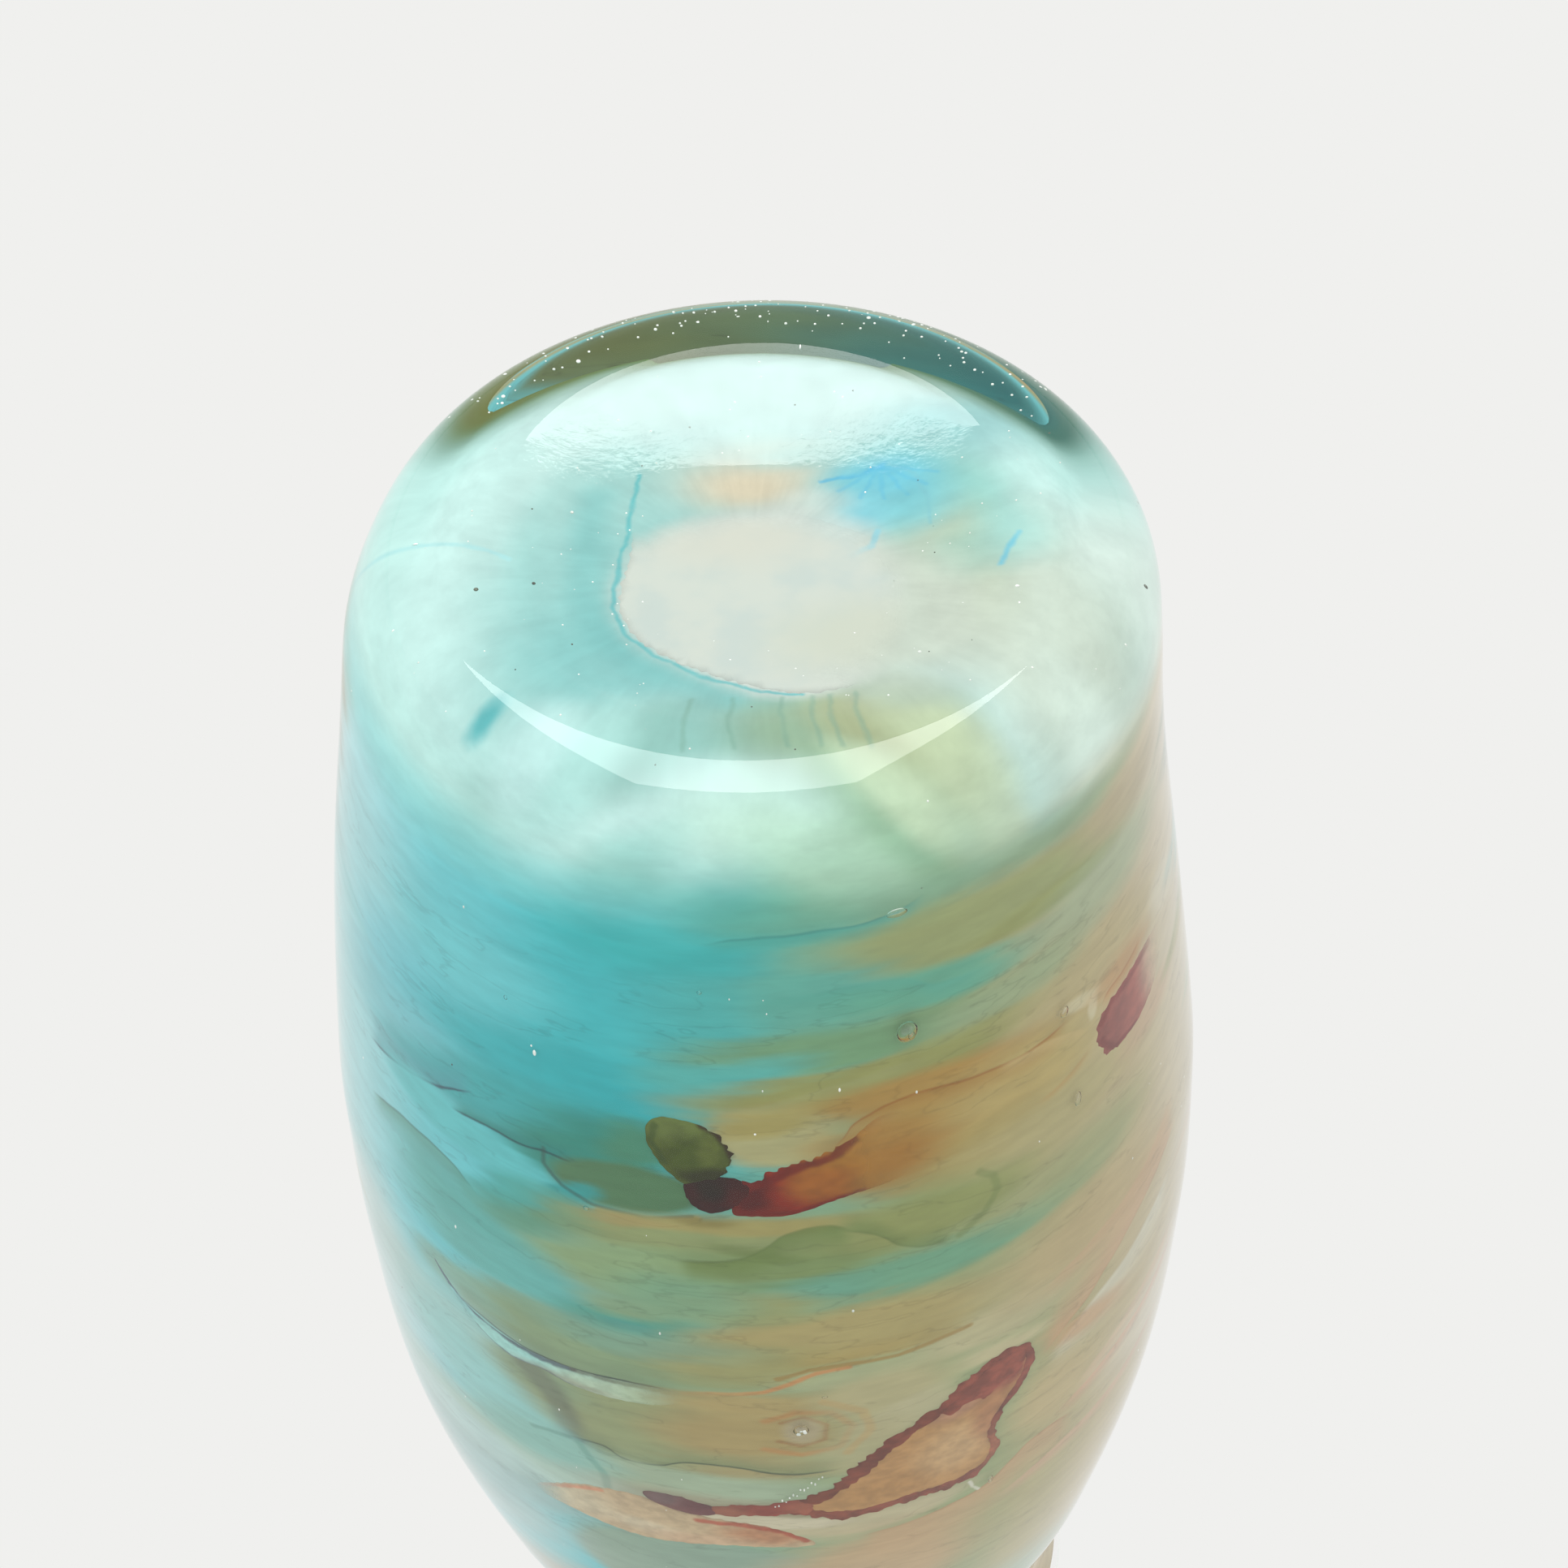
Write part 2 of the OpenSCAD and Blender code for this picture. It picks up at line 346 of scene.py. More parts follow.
# ---------------------------------------------------------------- painting
class Paint:
    """Layers of coloured glass, painted one over the other in a flat plane of millimetres."""

    def __init__(self, nodes, ground, soft_at, fine_at):
        self.n = nodes
        self.top = ground
        self.soft_at = soft_at
        self.fine_at = fine_at

    def blob(self, x, y, wide, high, colour, strength=0.8, soft=0.6, turn=0, fine=False):
        """A soft ellipse at x, y with its half sizes and a turn in degrees."""
        self.top = self.n.call(
            BLOB, Under=self.top, At=self.fine_at if fine else self.soft_at,
            Centre=(x, y, 0), Size=(wide, high, ENDLESS), Turn=(0, 0, math.radians(turn)),
            Soft=soft, Colour=rgb(*colour), Strength=strength,
        )

    def blobs(self, *specs):
        """Soft ellipses, each over the one before."""
        for spec in specs:
            self.blob(*spec)

    def line(self, points, width, colour, strength=1.0, soft=0.6, fine=True):
        """A brush line through points, with its half width."""
        at = self.fine_at if fine else self.soft_at
        near = None
        for a, b in zip(points, points[1:]):
            away = self.n.call(SEGMENT, At=at, From=(*a, 0), To=(*b, 0))
            near = away if near is None else self.n.math("MINIMUM", near, away)
        mask = self.n.step(near, width * (1 + soft), width * (1 - soft))
        self.top = self.n.mix(self.n.times(mask, strength), self.top, rgb(*colour))

    def wave(self, points, colour, fade, side=1, strength=0.8, edge=0.3, ends=0.2,
             ink=None, line=0.5, inking=0.0):
        """A layer on one side of an edge that runs along x: side 1 is towards greater y."""
        n = self.n
        points = sorted(points)
        x0, x1 = points[0][0], points[-1][0]
        y0 = min(p[1] for p in points) - 1
        y1 = max(p[1] for p in points) + 1
        place = n.split(self.fine_at)
        along = n.math("DIVIDE", n.math("SUBTRACT", place[0], x0), x1 - x0)
        edge_node = n.add("FloatCurve", 1.0, along)
        shape = edge_node.mapping.curves[0]
        flat = [((x - x0) / (x1 - x0), (y - y0) / (y1 - y0)) for x, y in points]
        shape.points[0].location, shape.points[1].location = flat[0], flat[-1]
        for p in flat[1:-1]:
            shape.points.new(*p)
        edge_node.mapping.update()
        edge_y = n.math("MULTIPLY_ADD", edge_node.outputs[0], y1 - y0, y0)
        off = n.times(n.math("SUBTRACT", place[1], edge_y), float(side))
        self.top = n.call(
            WAVE, Under=self.top, Off=off, Along=along, Fade=float(fade), Line=line, Edge=edge,
            Ends=ends, Colour=rgb(*colour), Ink=rgb(*(ink or colour)),
            Strength=strength, Inking=inking,
        )


def place_nodes(n):
    """Object place in millimetres, azimuth in degrees and height, each as a socket."""
    place = n.scaled(n.add("TexCoord").outputs["Object"], 1 / MM)
    x, y, z = n.split(place)[:3]
    angle = n.math("ARCTAN2", x, n.times(y, -1.0))
    return place, n.times(angle, 180 / math.pi), x, y, z


def warped(n, flat, place, stretch, amount, detail=2.0):
    """A place pushed about by noise over a stretched place, by up to half an amount in millimetres."""
    field = n.noise(n.vec("MULTIPLY", place, stretch), 1.0, detail).outputs["Color"]
    push = n.scaled(n.vec("SUBTRACT", field, (0.5, 0.5, 0.5)), amount)
    return n.vec("ADD", flat, push)


def ramp(n, value, stops):
    """Colour stops over a range of a value."""
    low, high = stops[0][0], stops[-1][0]
    node = n.add("ValToRGB", n.math("DIVIDE", n.math("SUBTRACT", value, low), high - low))
    node.color_ramp.interpolation = "EASE"
    elements = node.color_ramp.elements
    while len(elements) < len(stops):
        elements.new(0.5)
    for element, (at, colour) in zip(elements, stops):
        element.position = (at - low) / (high - low)
        element.color = rgb(*colour)
    return node.outputs[0]


# azimuth, colour of the ground layer all round the wall
WALL_GROUND = [
    (-180, (92, 138, 118)), (-160, (72, 128, 118)), (-138, (84, 150, 140)), (-115, (160, 170, 140)),
    (-95, (192, 182, 155)), (-75, (190, 180, 152)), (-55, (176, 163, 124)), (-40, (164, 157, 114)),
    (-22, (132, 152, 108)), (-8, (105, 162, 136)), (6, (72, 170, 166)), (24, (60, 179, 184)),
    (48, (98, 193, 199)), (70, (145, 207, 211)), (95, (165, 212, 214)), (125, (110, 184, 180)),
    (150, (118, 140, 92)), (180, (92, 138, 118)),
]


def paint_wall(n, place, azimuth, z):
    flat = n.join(azimuth, z)
    rolling = warped(n, flat, place, (0.018, 0.018, 0.05), 6.0, 3.0)
    soft_at = warped(n, rolling, place, (0.035, 0.035, 0.32), 5.0, 4.0)
    fine_at = warped(n, flat, place, (0.09, 0.09, 0.2), 1.4, 4.0)
    p = Paint(n, ramp(n, n.split(soft_at)[0], WALL_GROUND), soft_at, fine_at)

    # sage and sand under everything above the foot end
    p.blobs((0, 122, 40, 46, (141, 156, 114), 0.9, 0.35), (44, 154, 24, 10, (168, 192, 176), 0.9))

    # foot end of the front: turquoise on one side, sage and amber streaks on the other
    p.blobs(
        (40, 22, 55, 4, (118, 190, 188), 0.7, 0.7), (14, 27, 16, 5, (42, 166, 165), 0.7),
        (-4, 22, 14, 4, (74, 154, 136)), (44, 42, 13, 6, (104, 198, 203), 0.7),
        (60, 55, 10, 8, (92, 188, 200), 0.6, 0.7), (30, 57, 22, 7, (38, 165, 170)),
        (-8, 35, 10, 7, (88, 168, 154), 0.8, 0.7), (-36, 22, 30, 3.6, (110, 150, 122), 0.75),
        (-36, 30.5, 27, 4.8, (142, 152, 102), 0.95, 0.4, -2), (-44, 34, 14, 2.4, (139, 146, 86)),
        (-63, 29, 12, 4, (164, 152, 118)), (-24, 39, 15, 3.4, (90, 162, 138), 0.9, 0.5, -3),
        (-55, 40, 17, 6, (148, 170, 140), 0.7),
    )
    p.wave([(9, 26), (2, 24.4), (-8, 24), (-14, 24.2), (-24, 22)],
           (58, 150, 140), 3, 1, 0.6, 0.3, 0.15, (40, 120, 115), 0.35, 0.45)
    p.wave([(-8, 29), (-16, 27), (-28, 28), (-40, 26), (-56, 27)], (140, 148, 98), 3, 1, 0.4, 0.6)
    p.wave([(4, 36), (-6, 34.5), (-18, 35), (-25, 38.5), (-34, 39.5)], (78, 158, 142), 4, 1, 0.5, 0.5)

    # sage and amber bands that reach the middle of the front
    p.blobs(
        (-9, 46.3, 20, 3.6, (108, 150, 110), 0.95, 0.5, 2), (6, 50, 11, 2.6, (82, 172, 164), 0.9, 0.5, 12),
        (-36, 47, 14, 4, (141, 162, 126)), (-14, 54, 26, 3.6, (140, 144, 86), 1, 0.4, 4),
        (-25, 57.6, 22, 3, (160, 126, 62), 0.95, 0.5, -2), (-52, 55, 16, 6, (172, 160, 118)),
    )
    p.wave([(10, 58.5), (4, 56.5), (-4, 54), (-14, 52), (-24, 51.5)], (146, 150, 98), 4, 1, 0.7, 0.5)
    p.blobs((-0.5, 62, 9, 5.6, (162, 160, 114), 1, 0.3), (1, 58.5, 7, 1.8, (156, 146, 84), 0.9, 0.6, 10))

    # tan field behind the rust ribbon
    p.blobs(
        (-24, 66, 16, 9, (160, 132, 68), 1, 0.5, -3), (-37, 66, 12, 8, (172, 155, 98), 0.9),
        (-27, 73, 14, 3.6, (158, 144, 86)), (-43, 76, 16, 5, (168, 160, 114)),
        (-14, 69, 8, 5, (150, 100, 28), 0.9, 0.8),
    )
    p.wave([(-7, 67.5), (-9.5, 63.5), (-13, 60), (-20, 58.3), (-30, 59.5), (-40, 60.6), (-46, 59.5)],
           (158, 118, 52), 5, 1, 0.6, 0.35, 0.12, (140, 84, 30), 0.45, 0.6)
    p.wave([(-32, 59.8), (-38, 60.6), (-44, 62), (-50, 66)], (184, 164, 112), 3, 1, 0.7)
    p.wave([(-38, 71.5), (-44, 70.5), (-50, 68.5)], (166, 130, 72), 2, 1, 0.5, 0.4, 0.3)
    p.blobs(
        (-48.5, 58.6, 4.4, 1.3, (190, 182, 146), 0.9, 0.4, -16, True),
        (-50.6, 61.4, 1, 2.4, (192, 186, 152), 0.9, 0.4, -12, True), (-57, 60, 7, 3, (178, 142, 98)),
    )
    p.wave([(-52, 64), (-54, 62), (-58, 61.6), (-64, 60)],
           (176, 136, 88), 3, 1, 0.7, 0.3, 0.2, (150, 92, 50), 0.4, 0.5)
    p.blobs((-75, 60, 7, 4, (200, 196, 174), 0.6, 0.4, -26, True), (-64, 77, 8, 3, (186, 158, 128), 0.7))

    # dark teal and olive smoke behind the olive shard
    p.blobs(
        (58, 66, 14, 8, (104, 184, 192), 0.7), (42, 66, 18, 5, (54, 162, 163), 0.9, 0.5, 14),
        (26, 69, 12, 7, (40, 128, 112), 0.95, 0.5, 20), (19, 65, 5, 4, (66, 130, 102), 0.9, 0.6, 40),
    )
    p.wave([(66, 77), (58, 75), (51, 72.3), (46, 69.6), (42, 67)],
           (72, 150, 158), 8, -1, 0.7, 0.25, 0.15, (30, 66, 84), 0.5, 0.85)
    p.blob(44, 77, 16, 4.2, (88, 186, 188), 0.95, 0.3, -4)
    p.wave([(47, 73.5), (40, 72.6), (35, 72.8), (30, 72), (25, 74)],
           (34, 128, 120), 3.4, -1, 0.85, 0.25, 0.15, (10, 60, 66), 0.45, 0.8)
    p.blob(19.5, 74.4, 10.5, 4.8, (74, 116, 80), 1, 0.18, 4, True)
    p.wave([(31, 73), (30, 76), (26, 79), (20, 80), (13, 79.6), (8, 77.6)],
           (46, 130, 120), 2, -1, 0.4, 0.3, 0.12, (42, 98, 84), 0.4, 0.4)
    p.blob(27.5, 79, 5, 2.2, (40, 150, 148), 0.9, 0.5, 40)
    p.line([(23, 80.5), (17, 80.4), (10, 78.6)], 0.8, (156, 140, 82), 0.85)
    p.line([(31, 71.4), (31, 74.4), (28.4, 77.6), (24, 79.4), (17, 79.8), (10.6, 78)], 0.35, (40, 78, 70), 0.6, 0.8)

    # sage field with its dark green folds
    p.blobs(
        (4, 84, 27, 6, (136, 149, 100), 1, 0.35, 2), (12, 92, 24, 5.5, (132, 160, 116), 1, 0.4, 3),
        (3, 79.4, 15, 2.6, (152, 144, 88), 0.95, 0.5, 2), (-3, 89, 14, 4.6, (110, 130, 76)),
        (2, 86, 5, 1.6, (92, 112, 56), 0.6, 0.7, -16), (-22, 83, 14, 6, (134, 142, 84), 0.9, 0.5),
        (20, 81.6, 7, 1.6, (160, 146, 92), 0.8, 0.5, 8), (-22, 94, 26, 3.4, (102, 154, 124), 0.95, 0.5, 3),
        (-46, 90, 14, 6, (148, 155, 112)),
    )
    p.wave([(13, 87.6), (9, 87.4), (5, 86.8), (1, 84), (-2.5, 81.2), (-6, 80.6), (-11, 83)],
           (102, 124, 66), 7, 1, 0.85, 0.4, 0.12, (84, 106, 52), 0.5, 0.4)
    p.wave([(-8, 81.6), (-13, 84), (-17, 88), (-21, 89.8), (-25, 90)],
           (98, 120, 66), 5, -1, 0.6, 0.4, 0.2, (82, 102, 54), 0.5, 0.4)
    p.line([(-25, 90), (-29, 87.6), (-31, 84), (-30.6, 80.6), (-28.6, 78.6)], 0.6, (104, 122, 68), 0.45)
    p.wave([(10, 93.6), (5, 92.4), (-2, 91.8), (-8, 92.6)], (104, 136, 88), 3, 1, 0.5, 0.5, 0.25)
    p.wave([(66, 89.5), (60, 86.6), (54, 85.2), (48, 85.4), (44, 87.4), (41, 90)],
           (84, 154, 140), 6, 1, 0.85, 0.35, 0.15, (52, 112, 104), 0.5, 0.7)
    p.blobs(
        (36, 88, 7, 4, (84, 140, 108), 0.8, 0.6, 20), (29, 84, 6, 4, (104, 140, 102), 0.6),
        (50, 89, 7, 3, (82, 150, 138), 0.5), (9, 78, 4, 1.6, (118, 108, 54), 0.6),
        (37, 84, 7, 3, (64, 160, 152), 0.8, 0.6, 30),
    )

    # teal streaks, then the amber field
    p.blobs(
        (45, 95, 13, 5, (84, 165, 156), 0.9, 0.6, -8), (36, 102, 20, 4.6, (94, 172, 165), 1, 0.45, -4),
        (18, 104, 12, 3, (74, 150, 132), 0.95, 0.5, 8), (-1, 97.6, 12, 3, (98, 156, 134), 0.9, 0.6, 14),
        (20, 104.2, 3.4, 1.1, (46, 140, 132), 0.9, 0.6, 0, True), (-9, 105, 20, 6.4, (162, 151, 100), 1, 0.35, 3),
        (20, 101, 7, 2.6, (132, 156, 116)), (5, 98, 11, 3, (148, 150, 96), 0.85),
        (13, 97, 9, 4, (106, 158, 130), 0.65), (27, 113, 24, 5.2, (126, 152, 114), 1, 0.35, -3),
        (48, 113, 8, 4, (120, 168, 152)), (5, 111, 12, 5, (148, 146, 94), 0.9, 0.5),
        (21, 108, 15, 2.6, (112, 158, 138), 0.65, 0.7), (-9, 115, 9, 3, (160, 168, 128), 0.9, 0.5),
        (-30, 113, 12, 5, (176, 170, 132), 0.9, 0.5),
    )
    p.wave([(48, 116.6), (43, 117.4), (38, 118.8), (33, 119.5), (26, 119), (19, 118), (12.5, 118.4)],
           (112, 136, 104), 6, -1, 0.7, 0.2, 0.1, (40, 58, 56), 0.45, 0.95)
    p.line([(12.5, 118.2), (7, 117.4), (2, 116.6), (-1, 115), (-5, 112.6), (-9, 112)], 0.5, (184, 132, 80), 0.9)
    p.line([(0, 113.4), (-4, 111.6), (-9, 111.3), (-16, 111.6), (-26, 110.4)], 0.5, (146, 118, 58), 0.75)
    p.wave([(0, 111), (-10, 110.4), (-20, 110.6), (-28, 109.6)], (158, 138, 78), 5, -1, 0.6, 0.5)

    # swirl, smoke and folds below the pale blue sliver
    p.blobs(
        (52, 126, 16, 9, (156, 196, 188)), (20, 129, 22, 8.4, (136, 147, 104), 1, 0.35),
        (33, 125, 7, 4, (122, 146, 114), 0.9), (13, 120, 8, 1.6, (128, 134, 92), 0.7),
        (69, 124, 9, 16, (178, 198, 192), 0.55), (64, 140, 12, 12, (176, 208, 206), 0.45),
        (4, 129, 13, 7, (158, 142, 92), 1, 0.5), (3, 121, 11, 3, (164, 146, 94), 0.9),
        (28, 138, 5, 3, (112, 130, 98)), (3, 138, 11, 2.4, (152, 138, 92)),
        (-31, 120.4, 7, 2, (196, 184, 146), 0.7),
    )
    p.line([(35, 124), (31.5, 128), (30, 133), (29.4, 138)], 2.4, (102, 114, 92), 0.85)
    p.blobs((29, 138, 1.6, 1.2, (68, 84, 76), 0.95, 0.6, 0, True), (44, 136, 16, 8, (136, 196, 192), 0.9, 0.5, -30))
    p.wave([(31, 139), (28, 138), (25, 137.8), (21, 139.8), (17, 139.2), (12, 136.6), (8, 136.4), (2, 138),
            (-4, 138.8), (-9, 137.2)],
           (118, 132, 92), 4, -1, 0.75, 0.25, 0.1, (60, 78, 56), 0.45, 0.85)
    p.line([(2, 124), (-2, 122), (-7, 123), (-9.5, 127), (-8, 132), (-3, 133.4), (2, 131.6)],
           0.6, (168, 128, 76), 0.85, 0.8)
    p.line([(0, 124.6), (-3, 123.4), (-6, 126), (-5.6, 129.6), (-2.6, 131), (0.4, 129.4)],
           0.4, (146, 112, 66), 0.8, 0.8)
    p.blobs(
        (-2.8, 127, 2.6, 3.2, (166, 156, 124), 0.9, 0.4, 0, True), (-14, 121, 9, 6, (170, 163, 122), 0.9, 0.5),
        (-17, 127, 8, 3.4, (172, 168, 132), 0.9, 0.4, 22), (-12, 134, 6, 7, (166, 160, 120)),
    )
    p.line([(-6, 120), (-11, 124), (-12, 129), (-9, 134)], 0.7, (176, 148, 96), 0.5)
    p.blobs(
        (14, 144, 19, 5, (150, 170, 142), 1, 0.4), (35, 144, 11, 6, (126, 178, 166), 0.9, 0.5),
        (0, 150, 6, 2.4, (142, 134, 104), 0.6),
    )
    p.line([(28.6, 139.4), (27, 143), (25.4, 146), (25, 150)], 0.7, (96, 150, 136), 0.6)
    p.line([(36, 141), (33, 139.4), (30, 138.8)], 0.5, (92, 142, 130), 0.6)

    # sand, cream and dusty pink on the other side
    p.blob(-46, 105, 18, 7, (176, 160, 120), 0.9)
    p.wave([(-37, 129), (-41, 125), (-46, 122), (-52, 117), (-60, 112), (-70, 108)],
           (184, 152, 116), 12, -1, 0.8, 0.3, 0.12, (168, 124, 88), 0.5, 0.4)
    p.wave([(-38, 130), (-46, 124.6), (-56, 121), (-68, 116)], (196, 194, 172), 12, 1, 0.85, 0.6, 0.15)
    p.blob(-41, 140, 8, 9, (178, 162, 118), 0.9)
    p.wave([(-44, 144), (-52, 140), (-60, 136), (-72, 131)], (190, 164, 132), 8, 1, 0.7, 0.6)
    p.blobs(
        (-66, 148, 14, 8, (196, 188, 164)), (-46, 127, 8, 3, (182, 148, 108), 0.8, 0.6, -20),
        (7, 150, 20, 3, (156, 140, 116), 0.6), (-12, 155.6, 15, 3.4, (178, 170, 136), 0.95, 0.35, 4),
        # the grey teal blob at azimuth 37, height 162 on the next line is painted shade on the left shoulder
        (2, 153, 11, 1.8, (188, 182, 154), 1, 0.3, -7, True), (37, 162, 8, 5, (124, 160, 158), 0.7),
    )
    p.wave([(-46, 152), (-38, 150.6), (-34, 153), (-29, 157), (-22, 158.6), (-10, 160)],
           (178, 150, 112), 14, 1, 0.9, 0.3, 0.12, (162, 116, 84), 0.5, 0.5)
    p.line([(-27, 153.4), (-27.4, 155.4), (-28.4, 157)], 0.3, (206, 206, 190), 0.8)
    p.wave([(-36, 112), (-46, 108.6), (-56, 106.4), (-70, 100)], (186, 156, 122), 6, 1, 0.6, 0.4)
    p.wave([(-40, 148), (-50, 145), (-60, 142), (-74, 136)], (196, 152, 124), 5, 1, 0.6, 0.4)
    p.wave([(-30, 163), (-42, 159), (-56, 156), (-70, 150)], (194, 156, 130), 5, 1, 0.6, 0.4)

    # shoulder: teal patch under the peach ribbon, pale aqua and peach beyond it
    p.blobs(
        (14, 172, 19, 12, (126, 154, 134), 1, 0.14, 0, True), (52, 172, 18, 16, (162, 192, 190), 0.9, 0.5),
        (54, 155, 16, 4, (176, 208, 206), 0.7), (-14, 172, 15, 12, (180, 152, 114), 0.9, 0.5),
        (20, 196, 34, 10, (178, 150, 120), 0.8, 0.6, 10), (-30, 206, 36, 12, (150, 178, 160), 0.8, 0.6, -8),
        (30, 226, 40, 14, (110, 178, 180), 0.8, 0.6, 6), (-50, 238, 40, 12, (196, 176, 140)),
    )
    return p.top


# height, colour of the layers drawn out round the back
BACK_LAYERS = [
    (0, (70, 120, 104)), (24, (92, 118, 76)), (42, (60, 128, 122)), (54, (100, 186, 188)), (66, (150, 156, 108)),
    (74, (176, 158, 112)), (84, (118, 146, 92)), (96, (102, 172, 160)), (106, (168, 158, 110)),
    (118, (178, 142, 96)), (128, (134, 156, 118)), (138, (126, 188, 184)), (150, (184, 178, 146)),
    (160, (184, 150, 116)), (174, (112, 160, 146)), (188, (192, 184, 158)), (202, (84, 172, 178)),
    (218, (176, 160, 122)), (236, (116, 176, 172)), (254, (190, 176, 146)),
]


def paint_back(n, place):
    """Layers round the back that follow the height, with streaks and a few darker folds over them."""
    drift = n.cloud(place, (0.011, 0.011, 0.007), 2.0)
    at = warped(n, place, place, (0.03, 0.03, 0.2), 7.0, 4.0)
    height = n.math("MULTIPLY_ADD", n.math("SUBTRACT", drift, 0.5), 70.0, n.split(at)[2])
    under = ramp(n, height, BACK_LAYERS)
    rolled = warped(n, place, place, (0.02, 0.02, 0.08), 24.0, 5.0)
    ragged = warped(n, place, place, (0.06, 0.06, 0.12), 22.0, 5.0)
    spots = [
        # the first two spots, dark olive and dark teal low round the back, are painted shade where the far heel
        # looks into the back wall
        ((40, 40, 33), (60, 42, 13), (92, 94, 18)), ((-58, 42, 35), (42, 42, 16), (0, 96, 98)),
        ((20, 60, 64), (40, 30, 5), (92, 186, 188)), ((-50, 36, 72), (26, 30, 4), (168, 130, 74)),
        ((-62, 6, 96), (20, 34, 6), (176, 160, 116)), ((50, 40, 104), (40, 40, 5), (98, 180, 176)),
        ((-30, 58, 110), (30, 30, 4), (112, 122, 70)), ((16, 64, 124), (40, 30, 4), (166, 120, 66)),
        ((-58, 20, 130), (24, 34, 5), (140, 164, 128)), ((-10, 60, 146), (40, 34, 5), (108, 166, 150)),
        ((40, 40, 166), (34, 36, 5), (184, 150, 118)), ((-40, 40, 178), (34, 36, 6), (196, 186, 160)),
    ]
    folds = [
        ((26, 58, 90), (12, 30, 5), (104, 62, 30)), ((12, 62, 84), (9, 30, 2.4), (62, 74, 34)),
        ((-34, 52, 156), (15, 30, 3), (150, 96, 72)), ((-60, 26, 58), (10, 20, 3), (140, 94, 62)),
    ]
    # spots that roll with the glass, then the ragged folds over them
    for group, where, tilt, soft, strength in ((spots, rolled, 0, 0.5, 0.85), (folds, ragged, 0.2, 0.35, 0.8)):
        for centre, size, colour in group:
            under = n.call(
                BLOB, Under=under, At=where, Centre=centre, Size=size, Turn=(0, tilt, 0), Soft=soft,
                Colour=rgb(*colour), Strength=strength,
            )
    return under


# distance from the axis, colour of the ground layer under the foot
FOOT_GROUND = [
    (0, (122, 170, 166)), (24, (122, 170, 166)), (33, (142, 181, 176)), (39, (161, 193, 188)),
    (46, (170, 204, 199)), (50, (165, 205, 199)), (54, (150, 202, 197)), (58, (140, 200, 196)),
]


